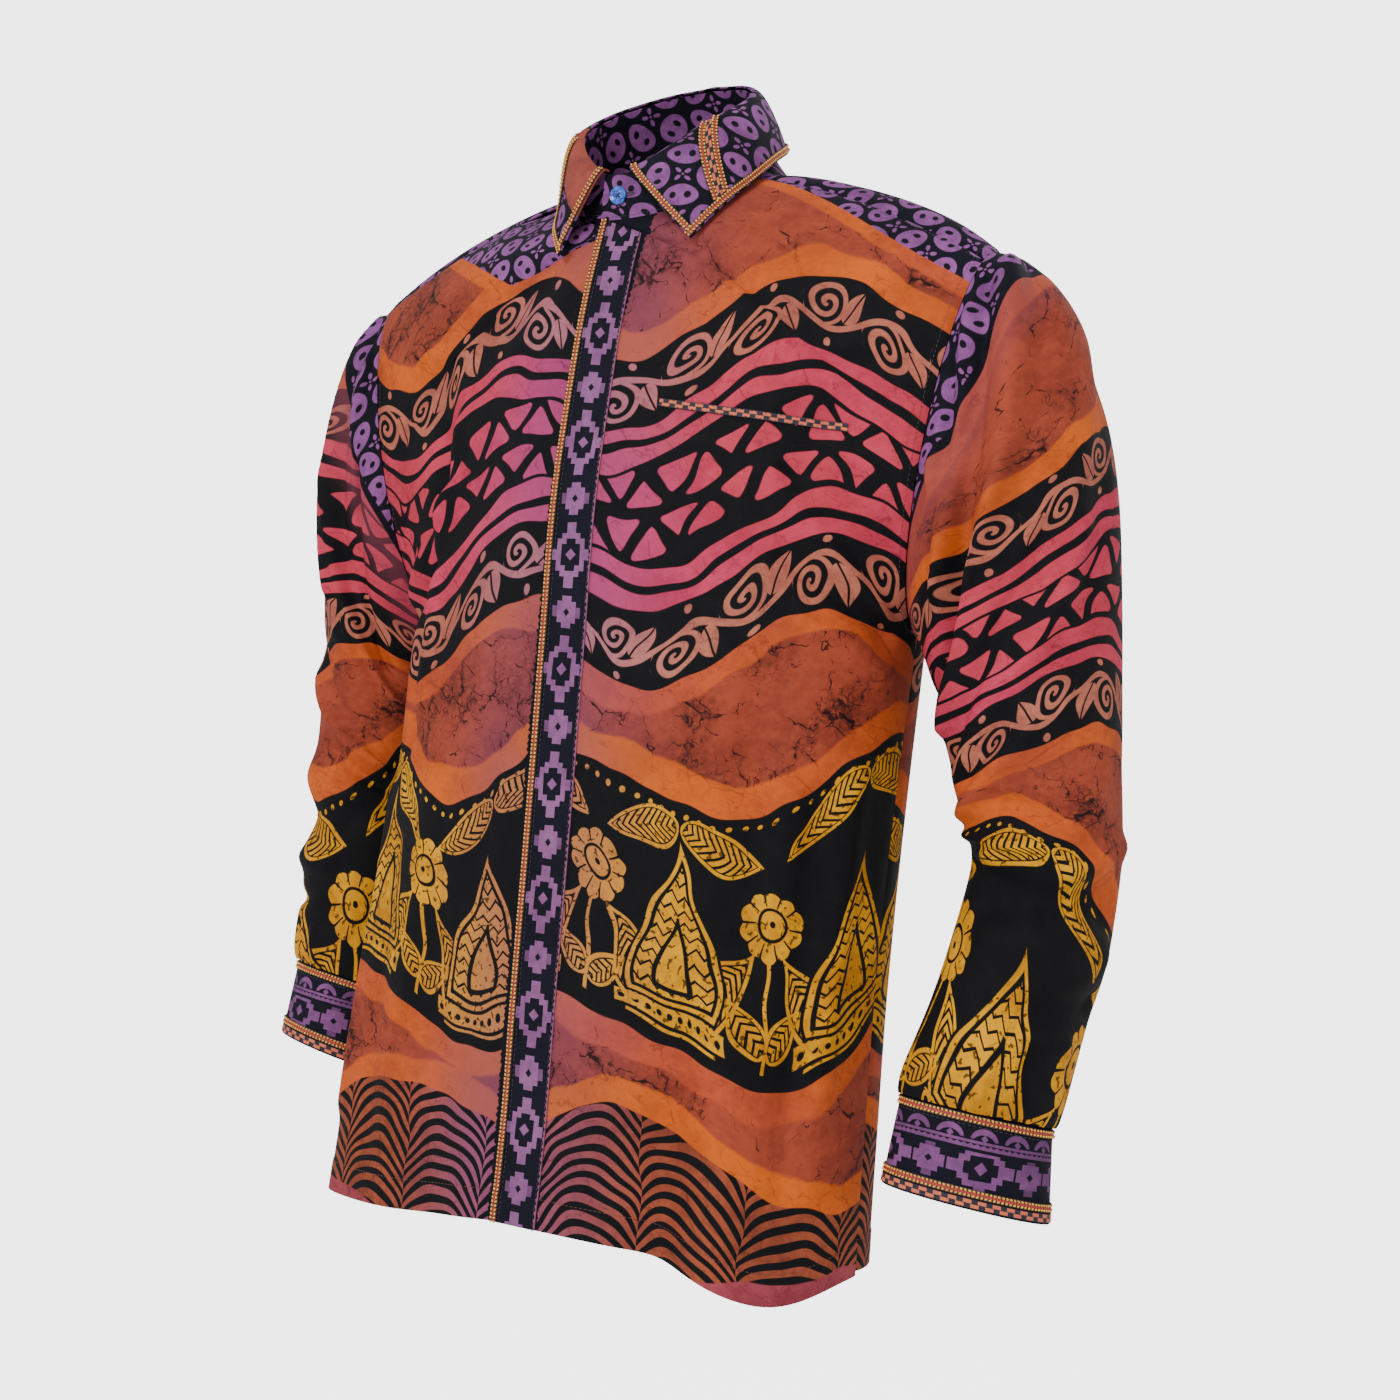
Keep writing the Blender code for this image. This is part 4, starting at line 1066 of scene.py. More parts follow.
mouth = np.linspace((POCKET_X[0], POCKET_Z[0]), (POCKET_X[1], POCKET_Z[1]), 45)
pocket = np.array([[place_under(front, x, z + up) for x, z in mouth] for up in np.linspace(0, TAPE_WIDTH, 4)])
strip("pocket_tape_band", front, LEFT, pocket[..., 0], pocket[..., 1], POCKET_LIFT)

# %% [markdown]
# ## Links and stitches
# A braid is two rows of small slanted loops of thread, and a seam is a row of short
# stitches. Both are one small shape repeated along a path, which is what Geometry Nodes
# are for. One tree serves both: it turns a path into a curve, spaces points along it,
# and sets a small rounded link on each, turned along the path and away from the cloth.

# %% A tree that sets links along a path
def build_link_tree():
    tree = bpy.data.node_groups.new("links_on_a_path", "GeometryNodeTree")
    kinds = dict(Geometry="Geometry", Thread="Material")
    for name in "Geometry Spacing Length Width Height Side Slant Thread".split():
        kind = "NodeSocket" + kinds.get(name, "Float")
        tree.interface.new_socket(name, in_out="INPUT", socket_type=kind)
    tree.interface.new_socket("Geometry", in_out="OUTPUT", socket_type="NodeSocketGeometry")
    made = {}
    for family, members in (
        ("NodeGroup", "given Input, result Output"),
        ("GeometryNode", "curve MeshToCurve, points ResampleCurve, out InputNamedAttribute"),
        ("GeometryNode", "along InputTangent, move SetPosition, ball MeshUVSphere, shape Transform"),
        ("GeometryNode", "smoothed SetShadeSmooth, place InstanceOnPoints, real RealizeInstances"),
        ("GeometryNode", "finish SetMaterial"),
        ("ShaderNode", "across VectorMath, offset VectorMath, size CombineXYZ"),
        ("FunctionNode", "upright AlignRotationToVector, turned AlignRotationToVector"),
        ("FunctionNode", "slant AxisAngleToRotation, lean RotateRotation"),
    ):
        for member in members.split(", "):
            name, kind = member.split()
            made[name] = tree.nodes.new(family + kind)
    made["points"].mode, made["out"].data_type = "LENGTH", "FLOAT_VECTOR"
    made["across"].operation, made["offset"].operation = "CROSS_PRODUCT", "SCALE"
    made["upright"].axis = "Z"
    made["turned"].axis, made["turned"].pivot_axis = "X", "Z"
    made["lean"].rotation_space = "LOCAL"
    for name, slot, value in (
        ("out", "Name", "out"),
        ("slant", "Axis", (0, 0, 1)),
        ("ball", "Segments", 6),
        ("ball", "Rings", 4),
        ("ball", "Radius", 0.5),
    ):
        made[name].inputs[slot].default_value = value
    for wire in """
        given.Geometry curve.Mesh
        curve.Curve points.Curve
        given.Spacing points.Length
        out.Attribute across.0
        along.Tangent across.1
        across.Vector offset.0
        given.Side offset.Scale
        points.Curve move.Geometry
        offset.Vector move.Offset
        out.Attribute upright.Vector
        upright.Rotation turned.Rotation
        along.Tangent turned.Vector
        given.Slant slant.Angle
        turned.Rotation lean.Rotation
        slant.Rotation lean.Rotate_By
        given.Length size.X
        given.Width size.Y
        given.Height size.Z
        ball.Mesh shape.Geometry
        size.Vector shape.Scale
        shape.Geometry smoothed.Geometry
        move.Geometry place.Points
        smoothed.Geometry place.Instance
        lean.Rotation place.Rotation
        place.Instances real.Geometry
        real.Geometry finish.Geometry
        given.Thread finish.Material
        finish.Geometry result.Geometry
    """.strip().splitlines():
        (source, outlet), (target, inlet) = (end.split(".") for end in wire.split())
        inlet = int(inlet) if inlet.isdigit() else inlet.replace("_", " ")
        tree.links.new(made[source].outputs[outlet], made[target].inputs[inlet])
    return tree


LINK_TREE = build_link_tree()
SOCKETS = {item.name: item.identifier for item in LINK_TREE.interface.items_tree if item.in_out == "INPUT"}
print("sockets:", SOCKETS)


def path_object(name, paths):
    """Lines with outward directions, as one mesh of edges."""
    points, outs, edges = [], [], []
    for line, normals in paths:
        start = len(points)
        points += [tuple(p) for p in line]
        outs += [tuple(n) for n in normals]
        edges += [(start + k, start + k + 1) for k in range(len(line) - 1)]
    mesh = bpy.data.meshes.new(name)
    mesh.from_pydata(points, edges, [])
    out = mesh.attributes.new("out", "FLOAT_VECTOR", "POINT")
    out.data.foreach_set("vector", np.array(outs, np.float32).ravel())
    return new_object(name, mesh)


def links_along(name, paths, **inputs):
    """One plain mesh of links along the given paths, from the tree's own named inputs."""
    obj = path_object(name, paths)
    made = obj.modifiers.new("links", "NODES")
    made.node_group = LINK_TREE
    for key, value in inputs.items():
        made[SOCKETS[key]] = value
    plain(obj)
    print(f"{name}: {len(obj.data.polygons)} faces")
    return obj


def to_mesh(shape, name):
    mesh = bpy.data.meshes.new(name)
    shape.to_mesh(mesh)
    shape.free()
    return mesh


def joined(name, parts):
    """Several plain meshes as one."""
    shape, finishes = bmesh.new(), []
    for part in parts:
        before = len(shape.faces)
        shape.from_mesh(part.data)
        shape.faces.ensure_lookup_table()
        base = len(finishes)
        finishes += list(part.data.materials)
        for face in shape.faces[before:]:
            face.material_index += base
    mesh = to_mesh(shape, name)
    for finish in finishes:
        mesh.materials.append(finish)
    for part in parts:
        bpy.data.objects.remove(part, do_unlink=True)
    PIECES[name] = new_object(name, mesh)
    return PIECES[name]

# %% [markdown]
# ## A small language for patterns
# A dyed pattern is a drawing in the plane of the cloth, so it can be written as arithmetic
# on two coordinates. Wiring Math nodes by hand is slow and hard to read. The class below
# lets the same wiring be written as a formula: adding two of its values adds a Math node.

# %% Arithmetic that makes nodes
def linear(code, alpha=1.0):
    """A colour from its six hexadecimal digits, as Blender's linear red, green and blue."""
    parts = [int(code[k : k + 2], 16) / 255 for k in (0, 2, 4)]
    return (*[p / 12.92 if p <= 0.04045 else ((p + 0.055) / 1.055) ** 2.4 for p in parts], alpha)


class Field:
    """A number that varies over the cloth. Arithmetic on it adds Math nodes to its tree."""

    def __init__(self, tree, socket):
        self.tree, self.socket = tree, socket

    def made(self, operation, *others):
        node = self.tree.nodes.new("ShaderNodeMath")
        node.operation = operation
        for slot, value in zip(node.inputs, (self, *others)):
            if isinstance(value, Field):
                self.tree.links.new(value.socket, slot)
            else:
                slot.default_value = value
        return Field(self.tree, node.outputs[0])

    def __neg__(self):
        return self * -1

    def __rsub__(self, other):
        return self * -1 + other

    def step(self, low, high):
        """0 below low and 1 above high, or the reverse if low is the greater, changing smoothly."""
        node = self.tree.nodes.new("ShaderNodeMapRange")
        node.interpolation_type = "SMOOTHSTEP"
        self.tree.links.new(self.socket, node.inputs["Value"])
        for slot, value in (("From Min", low), ("From Max", high)):
            node.inputs[slot].default_value = value
        return Field(self.tree, node.outputs["Result"])

    def outside(self, soft=0.0004):
        """1 where a distance is above 0, 0 below it."""
        return self.step(-soft, soft)

    def inside(self, soft=0.0003):
        """1 where a distance is below 0, 0 above it: the ink of a shape."""
        return self.step(soft, -soft)


def method(operation):
    return lambda self, *others: self.made(operation, *others)


OPERATIONS = dict(__add__="ADD", __radd__="ADD", __sub__="SUBTRACT", __mul__="MULTIPLY", __rmul__="MULTIPLY")
OPERATIONS.update(__truediv__="DIVIDE", __mod__="FLOORED_MODULO", __pow__="POWER", __abs__="ABSOLUTE")
OPERATIONS.update(sine="SINE", floor="FLOOR", nearest="ROUND", root="SQRT", least="MINIMUM", most="MAXIMUM")
for name, operation in OPERATIONS.items():
    setattr(Field, name, method(operation))


def hypot(a, b):
    return (a * a + b * b).root()


def stroke(distance, half):
    """The ink of a line of the given half width."""
    return (abs(distance) - half).inside()


def dot(x, y, radius):
    return (hypot(x, y) - radius).inside()


def turned(x, y, degrees):
    """Two coordinates turned about the origin."""
    c, s = math.cos(math.radians(degrees)), math.sin(math.radians(degrees))
    return x * c + y * s, y * c - x * s


def flat_texture(kind, u, v, seed, **settings):
    """A texture over the plane of the cloth; the seed moves it to another part of its plane."""
    node, spot = u.tree.nodes.new(kind), u.tree.nodes.new("ShaderNodeCombineXYZ")
    setattr(node, "noise_dimensions" if "Noise" in kind else "voronoi_dimensions", "2D")
    for field, axis in ((u + seed, "X"), (v - seed, "Y")):
        u.tree.links.new(field.socket, spot.inputs[axis])
    u.tree.links.new(spot.outputs["Vector"], node.inputs["Vector"])
    for slot, value in settings.items():
        node.inputs[slot].default_value = value
    return node


def grain(u, v, scale, detail=2.0, roughness=0.5, seed=0.0):
    """Smooth noise from 0 to 1 over the cloth, with so many lumps to the metre."""
    settings = dict(Scale=scale, Detail=detail, Roughness=roughness)
    return Field(u.tree, flat_texture("ShaderNodeTexNoise", u, v, seed, **settings).outputs["Fac"])


def cracks(u, v, scale, seed=0.0):
    """Distance in metres from the edges of irregular cells of the given number to the metre."""
    cells = flat_texture("ShaderNodeTexVoronoi", u, v, seed, Scale=scale)
    cells.feature = "DISTANCE_TO_EDGE"
    return Field(u.tree, cells.outputs["Distance"]) / scale


def mixed(low, high, factor):
    """A blend of two colours; either may be six hexadecimal digits or come from a node."""
    tree = factor.tree
    node = tree.nodes.new("ShaderNodeMix")
    node.data_type = "RGBA"
    tree.links.new(factor.socket, node.inputs["Factor"])
    for name, value in (("A", low), ("B", high)):
        slot = next(s for s in node.inputs if s.name == name and s.type == "RGBA")
        if isinstance(value, str):
            slot.default_value = linear(value)
        else:
            tree.links.new(value, slot)
    return next(s for s in node.outputs if s.type == "RGBA")


def new_group(name, outputs, **more):
    """A shader group over the plane of the cloth: its fields U, V and more, and how to send results."""
    tree = bpy.data.node_groups.new(name, "ShaderNodeTree")
    inputs = dict(U=0, V=0, **more)
    for key, value in inputs.items():
        tree.interface.new_socket(key, in_out="INPUT", socket_type="NodeSocketFloat").default_value = value
    for key in outputs.split():
        kind = "NodeSocketColor" if key == "Color" else "NodeSocketFloat"
        tree.interface.new_socket(key, in_out="OUTPUT", socket_type=kind)
    given = tree.nodes.new("NodeGroupInput")
    result = tree.nodes.new("NodeGroupOutput")

    def send(key, value):
        tree.links.new(value.socket if isinstance(value, Field) else value, result.inputs[key])

    return [Field(tree, given.outputs[key]) for key in inputs], send


def use(group, u, v, **more):
    """Places a group in the tree of its coordinates and returns its outputs by name."""
    tree = u.tree
    node = tree.nodes.new("ShaderNodeGroup")
    node.node_tree = bpy.data.node_groups[group]
    for key, value in dict(U=u, V=v, **more).items():
        if isinstance(value, Field):
            tree.links.new(value.socket, node.inputs[key])
        else:
            node.inputs[key].default_value = value
    return {s.name: (Field(tree, s) if s.type == "VALUE" else s) for s in node.outputs}


def by_hand(u, v, wander):
    """Coordinates that wander by up to a given distance, as a hand-drawn line does."""
    drawn = use("drawn_by_hand", u, v, Wander=wander)
    return drawn["U"], drawn["V"]


def full_dye(u, v):
    return use("uneven_dye", u, v)["Full"]


print("pattern helpers ready")

# %% [markdown]
# ## Effects that every cloth shares
# Hand-drawn wax wobbles a little, wax cracks in the dye bath and leaves thin dark veins
# and smoky patches, the dye is uneven, and cotton shows its threads. Each of these is one
# shader group, so that every finish uses it with its own strength.

# %% Shared groups: hand, crackle, mottle, weave
def build_hand():
    (u, v, wander), send = new_group("drawn_by_hand", "U V", Wander=0.001)
    send("U", u + (grain(u, v, 34, 0, seed=1.3) - 0.5) * wander * 2)
    send("V", v + (grain(u, v, 34, 0, seed=7.7) - 0.5) * wander * 2)


def build_crackle():
    """Thin broken veins gathered in patches, and the smoky dye round them."""
    (u, v), send = new_group("wax_crackle", "Veins Smoke")
    bend = grain(u, v, 55, 3, 0.6, seed=3.1) - 0.5
    bend_u, bend_v = u + bend * 0.030, v - bend * 0.021
    patch = grain(u, v, 13, 2, seed=4.0)
    broken = grain(u, v, 105, 2, seed=2.5)
    from_crack = cracks(bend_u, bend_v, 27, 2.0)
    wide = from_crack - (broken - 0.41) * 0.0030 - (patch - 0.5) * 0.0012
    fine = cracks(bend_u, bend_v, 78, 5.0) - (0.56 - broken) * 0.0018 - (patch - 0.55) * 0.0022
    hairs = wide.inside(0.00022).most(fine.inside(0.00018) * 0.8)
    soot = grain(u, v, 210, 3, 0.75, seed=6.6)
    near = from_crack.step(0.0060, 0.0) * patch.step(0.40, 0.62)
    send("Veins", hairs.most((soot - 0.05 + near * 0.10).step(0.66, 0.74) * patch.step(0.35, 0.6) * 0.8))
    send("Smoke", (near * 0.6 + patch.step(0.42, 0.72) * 0.55) * soot.step(0.25, 0.65))


def build_mottle():
    """Uneven dye: 0 where it is thin, 1 where it is full."""
    (u, v), send = new_group("uneven_dye", "Full")
    broad, small = grain(u, v, 22, 2, seed=1.1), grain(u, v, 150, 2, 0.65, seed=5.2)
    send("Full", (broad * 0.62 + small * 0.38).step(0.28, 0.72))


def build_weave():
    """The height of a plain weave with slubs and small creases, in metres."""
    (u, v), send = new_group("cotton_weave", "Height")
    pitch = 2 * math.pi / 0.00056
    warp, weft = (u * pitch).sine(), (v * pitch).sine()
    slub = grain(u * 0.15, v, 800, 0, seed=3.0)
    crease = grain(u, v, 48, 2, 0.5, seed=2.2)
    send("Height", warp * weft * 0.000045 + slub * 0.00010 + crease * 0.0012)


for build in (build_hand, build_crackle, build_mottle, build_weave):
    build()
print("shared groups:", [g.name for g in bpy.data.node_groups if g.type == "SHADER"])

# %% [markdown]
# ## Kawung and stepped borders
# Kawung is one of the oldest batik patterns: fruit-like ovals stand in fours, crosswise,
# with a little star in the space between. One square of cloth holds one oval, turned one
# way on even squares and the other way on odd ones, like a chessboard. The border is a row
# of diamonds whose edges climb in small steps, as on woven cloth.

# %% Kawung and border
KAWUNG_CELL = 0.0222
TREAD = 0.0034  # of the border's steps


def build_kawung():
    (u, v), send = new_group("kawung", "Purple")
    (u, v), cell = by_hand(u, v, 0.0018), KAWUNG_CELL
    i, j = (u / cell).floor(), (v / cell).floor()
    x, y = u - (i + 0.5) * cell, v - (j + 0.5) * cell
    flip = ((i + j) % 2.0) * 2 - 1
    along, across = (x + y * flip) * 0.7071, (y - x * flip) * 0.7071
    oval = (hypot(along / 0.0101, across / 0.0079) - 1) * 0.0079
    seed = (hypot((abs(along) - 0.0042) / 0.0019, across / 0.0025) - 1) * 0.0019
    near_u, near_v = (u / cell).nearest(), (v / cell).nearest()
    cx, cy = u - near_u * cell, v - near_v * cell
    far, low = abs(cx).most(abs(cy)), abs(cx).least(abs(cy))
    petal = (hypot((far - 0.0040) / 0.0022, low / 0.0013) - 1) * 0.0013
    star = petal.least(hypot(cx, cy) - 0.0008).inside(0.0002)
    closed_corner = ((near_u + near_v) % 2.0).step(0.6, 0.4)
    send("Purple", oval.inside() * seed.outside(0.0003) + star * closed_corner)


def build_border():
    """Stepped diamonds along a strip, in turn with small stepped crosses."""
    (u, v, period), send = new_group("stepped_border", "Purple", Period=0.070)
    u, v = by_hand(u, v, 0.0009)
    y = v - (v / period).nearest() * period
    sx, sy = ((abs(u) / TREAD).floor() + 0.5) * TREAD, ((abs(y) / TREAD).floor() + 0.5) * TREAD
    size = sx * 1.5 + sy
    ring = (size - 0.0225).inside() * (size - 0.0130).outside(0.0002)
    heart = (abs(u) + abs(y) - 0.0038).inside()
    z = v + period * 0.5
    y2 = z - (z / period).nearest() * period
    sy2 = ((abs(y2) / TREAD).floor() + 0.5) * TREAD
    cross = (sx * 1.3 + sy2 - 0.0128).inside() * (sx.least(sy2) - 0.0055).inside()
    hole = (abs(u) * 1.2 + abs(y2) - 0.0026).inside()
    send("Purple", (ring + heart + cross * (1 - hole)).least(1.0))


for build in (build_kawung, build_border):
    build()

# %% [markdown]
# ## The print
# The main cloth is dyed in bands that roll like low hills. From the shoulder down: rust,
# a leafy vine on black, pink stripes round two rows of darts, a second vine, a rust and
# orange hill, tall yellow blooms on black, an orange hill, and nested scallops to the
# hem. Each band is measured from the rolling line that it follows.

# %% Rolling lines and simple shapes
def rolling(u, level, rise, length, phase):
    """The height of a rolling line over the cloth."""
    first = (u * (2 * math.pi / length) + phase).sine() * rise
    second = (u * (2 * math.pi / length * 1.83) + phase * 2.1).sine() * (rise * 0.24)
    return first + second + level


def nearest_copy(u, period, shift=0.0):
    """Distance along the cloth from the nearest of evenly spaced copies."""
    x = u / period + shift
    return (x - x.nearest()) * period


def leaf_shape(along, off, length, width):
    """Distance outside a pointed leaf that starts at 0 and ends at its length."""
    f = (along / length).most(0.0).least(1.0)
    return (abs(off) - (f**0.6) * (1 - f) * 2.9 * width).most(-along).most(along - length)


def saw(distance, period):
    """Saw teeth from 0.5 down to 0 and up again over each period."""
    return abs((distance / period) % 1.0 - 0.5)


def comb(distance, period, share):
    """Parallel lines of ink that fill the given share of the cloth."""
    return (saw(distance, period) * (2 * period) - share * period).inside(0.0003)


# %% Motifs
def vine(u, y, period=0.068, reach=0.0080):
    """A waving stem with a curl, a solid leaf and a berry in each bend."""
    half = period / 2
    k = (u / half).floor()
    x, h = u - (k + 0.5) * half, y * ((k % 2.0) * 2 - 1)
    stem = stroke(y - (u * (2 * math.pi / period)).sine() * reach, 0.0018)
    cx, cy, pitch = x + 0.0052, h - 0.0052, 0.0060
    r, a = hypot(cx, cy), cx.made("ARCTAN2", cy)
    turn = (r / pitch - a / (2 * math.pi)) % 1.0
    curl = (abs(turn - 0.5) * pitch - 0.0015).inside() * (r - 0.0122).inside()
    along, off = turned(x - 0.0072, h + 0.0030, 64)
    leaf = leaf_shape(along, off, 0.0195, 0.0050).inside() * (0.0005 - abs(off)).inside(0.0002)
    berry = dot(x, h + 0.0155, 0.0021)
    return stem.most(curl * (x - 0.0078).inside()).most(leaf).most(berry)


def darts(u, y, pitch=0.036, tall=0.0250):
    """Two rows of round-cornered triangles that point up and down in turn."""
    row = y.outside(0.00001) * 2 - 1
    h = y - row * (tall / 2 + 0.0024)
    x = u + row * 0.0025 + h * 0.10
    steep = math.atan2(pitch / 2, tall)
    soft, ink = 0.0040, None
    uneven = grain(u, y, 26, 0, seed=8.8) * 0.0044 + 0.0012
    for way, shift in ((1, 0.0), (-1, 0.5)):
        off, up = abs(nearest_copy(x, pitch, shift)), h * way
        flank = off * math.cos(steep) + (up - tall / 2) * math.sin(steep) + uneven
        foot, tip = -up - tall / 2 + 0.0014, up - tall / 2 + 0.0050
        flank, foot, tip = ((d + soft).most(0.0) for d in (flank, foot, tip))
        one = ((flank * flank + foot * foot + tip * tip).root() - soft).inside(0.0004)
        ink = one if ink is None else ink.most(one)
    return ink


def spire(along, off, tall, wide):
    """Distance beside a bud that swells above its foot and tapers to a long tip."""
    f = (along / tall).most(0.0).least(1.0)
    return (abs(off) - ((1 - f) ** 1.5) * (f * 2.2 + 1) * wide).most(-along).most(along - tall)


def bloom(x, y, tall=0.096, wide=0.0285):
    """A tall bud between two leaning petals, on a beaded foot."""
    bud = spire(y, x, tall, wide)
    scale = comb(y - abs(nearest_copy(x, 0.0104)) * 0.9, 0.0078, 0.78)
    heart = spire(y - 0.010, x, 0.042, 0.0120)
    inner = (bud + 0.0052).inside() * scale.least((0.0012 - heart).inside()).most((heart + 0.0020).inside())
    ink = stroke(bud + 0.0014, 0.0014).most(inner)
    along, off = turned(abs(x) - 0.0150, y, 56)
    side = spire(along, off, 0.058, 0.0150)
    ribs = comb(along + abs(off) * 0.9, 0.0046, 0.58) * (side + 0.0034).inside()
    leaning = stroke(side + 0.0012, 0.0012).most(ribs) * (0.0018 - bud).inside()
    foot = stroke(y + 0.0070, 0.0048) * stroke(x, 0.0360)
    beads = dot(nearest_copy(x, 0.0072, 0.5), y + 0.0070, 0.0019)
    low = stroke(y + 0.0150, 0.0010) * stroke(x, 0.0300)
    return ink.most(leaning).most(foot * (1 - beads)).most(low)


def flower(x, y, radius=0.0205):
    """A ten-petalled flower with dark veins and a ringed centre."""
    r, a = hypot(x, y), y.made("ARCTAN2", x)
    wave = abs((a * 5.0).sine())
    petal = (r - (wave * 0.12 + 0.88) * radius).inside()
    gap = (0.24 - wave).step(0.0, 0.1) * (r - radius * 0.52).step(0.0, 0.0006)
    ring = stroke(r - radius * 0.44, 0.0010)
    return petal * (1 - gap.most(ring).most((r - 0.0019).inside()))


def leaf_pair(x, y, lean, length, width):
    """Two combed leaves that spread from one point."""
    along, off = turned(abs(x) - 0.0010, y, lean)
    leaf = leaf_shape(along, off, length, width)
    ribs = comb(along + abs(off) * 0.8, 0.0044, 0.62) * (leaf + 0.0030).inside()
    return stroke(leaf + 0.0011, 0.0011).most(ribs)


def stalk(x, y, height):
    """A flower on a stem with a pair of leaves."""
    stem = stroke(x, 0.0012) * (y - height).inside() * y.step(0.0, 0.0006)
    return stem.most(leaf_pair(x, y - 0.0080, 44, 0.0320, 0.0086)).most(flower(x, y - height - 0.0170))


def scallops(u, v, width=0.066, pitch=0.0092):
    """Nested arches, every other column of them set half a stripe down."""
    k = (u / width).nearest()
    x = u - k * width
    arch = v - (width * width * 0.36 - x * x).root() * 1.1 + (k % 2.0) * pitch * 0.5
    return (arch * (2 * math.pi / pitch)).sine().step(-0.12, 0.12)


# %% The whole print as one group
# Rolling lines from the hem upwards: level above the hem, rise, length and phase.
HILLS = (
    (0.005, 0.007, 0.23, 2.4),
    (0.066, 0.022, 0.26, 5.6),
    (0.136, 0.022, 0.28, 1.2),
    (0.293, 0.026, 0.28, 2.0),
    (0.368, 0.026, 0.28, 3.3),
    (0.572, 0.026, 0.29, 4.1),
)


def build_print():
    (raw_u, raw_v, rim, panel_top), send = new_group("hill_print", "Color", Edge=0.3, Top=-1)
    u, v = by_hand(raw_u, raw_v, 0.0040)
    dye = full_dye(raw_u, raw_v)
    wax = use("wax_crackle", raw_u, raw_v)
    drift = grain(raw_u, raw_v, 7, 1, seed=9.0).step(0.35, 0.65)
    hills = [rolling(u, *row) for row in HILLS]
    near = rim.step(0.120, 0.030) * (drift * 0.35 + 0.65)

    def dyed(thin, full, beside, share):
        """A dye's two strengths, turning to another colour beside the front edge."""
        return mixed(mixed(thin, full, dye), beside, near * share)

    rust = dyed("903824", "b24a2a", "8a4258", 0.85)
    core = mixed(dyed("7a3022", "9c422c", "70384e", 0.8), "241013", wax["Smoke"] * 0.8)
    core = mixed(core, "120809", wax["Veins"] * 0.85)
    glow = dyed("ac4a12", "cc5c14", "98503c", 0.8)
    pink = mixed(dyed("a02844", "c23a5a", "8c3e74", 0.9), "b43c34", drift * 0.35)
    tan = mixed(dyed("8e4c40", "b46c56", "88587a", 0.8), "a65040", drift * 0.3)
    yellow = mixed(dyed("a86c00", "dc9c00", "94584c", 0.9), "c88004", drift * 0.2)
    earth = dyed("6e3222", "96482e", "804468", 0.8)
    black = "08080c"

    def hill(color, low, high, bottom, top):
        """A rust band between two lines, with glowing rims of the given widths."""
        up, down = v - low + (dye - 0.5) * 0.003, high - v + (dye - 0.5) * 0.003
        lit = mixed(core, mixed(glow, rust, drift * 0.5), (bottom - up).outside(0.0014))
        lit = mixed(lit, mixed(rust, glow, drift * 0.75), (top - down).outside(0.0014))
        return mixed(color, lit, (v - low).outside())

    # The hem: plain below its lowest line, then nested scallops.
    stripes = mixed(earth, black, scallops(u, v - hills[1] * 0.55))
    stripes = mixed(stripes, dyed("7c2c38", "98404a", "80406a", 0.8), (hills[0] - v).outside())
    color = hill(stripes, hills[1], hills[2], 0.016, 0.018)

    # Black, with blooms standing on the hill, flowers between them and leaves hanging above.
    ground, sky = v - hills[2], hills[3] - v
    x, x2 = nearest_copy(u, 0.112), nearest_copy(u, 0.112, 0.5)
    motif = bloom(x, ground - 0.0240).most(stalk(x2, ground - 0.010, 0.060))
    motif = motif.most(leaf_pair(x, sky - 0.012, 24, 0.0520, 0.0125) * (sky - 0.004).step(0.0, 0.0006))
    motif = motif.most(dot(nearest_copy(u, 0.0088), sky - 0.0068, 0.0016))
    motif = motif * (1 - (grain(u, v, 260, 1, seed=3.7) - 0.66).step(0.0, 0.03) * 0.8)
    color = mixed(color, mixed(black, yellow, motif), ground.outside())
    color = hill(color, hills[3], hills[4], 0.020, 0.016)

    # Black, with a vine along each side and pink stripes and darts between them.
    low, high = v - hills[4], hills[5] - v
    near_edge = low.least(high)
    lower = (low - high).outside(0.00001)
    vines = vine((u + lower * 0.013) * 0.82, (near_edge - 0.0228) * 0.82) * (near_edge - 0.0440).inside()
    swell = (u * 37 + v * 12).sine() * 0.0010
    stripe = (abs(near_edge - 0.0512) - 0.0050 + swell).inside(0.0004)
    stripe = stripe.most((abs(near_edge - 0.0672) - 0.0054 - swell).inside(0.0004))
    cut = darts(u, (low - high) * 0.5) * (0.0756 - near_edge).inside(0.0004)
    band = mixed(mixed(black, tan, vines), pink, cut.most(stripe))
    color = mixed(color, band, low.outside())

    # The shoulder: rust again, up to the line where the panel's own top begins.
    color = hill(color, hills[5], v - panel_top, 0.018, 0.012)
    send("Color", mixed(color, "14090c", wax["Veins"] * 0.30))


build_print()
print("print nodes:", len(bpy.data.node_groups["hill_print"].nodes))

# %% [markdown]
# ## The cotton finishes
# Every finish is the same matt cotton with a different drawing. Its roughness varies a
# little, and the weave and small creases are added as bump.

# %% Cotton
def new_material(name, **settings):
    made = bpy.data.materials.new(name)
    made.use_nodes = True
    shader = made.node_tree.nodes["Principled BSDF"]
    for slot, value in settings.items():
        shader.inputs[slot.replace("_", " ")].default_value = value
    return made, made.node_tree, shader


def with_bump(tree, shader, height, strength):
    """Turns a height in metres into small shadows on the cloth."""
    bump = tree.nodes.new("ShaderNodeBump")
    bump.inputs["Strength"].default_value = strength
    bump.inputs["Distance"].default_value = 1.0
    tree.links.new(height.socket, bump.inputs["Height"])
    tree.links.new(bump.outputs["Normal"], shader.inputs["Normal"])


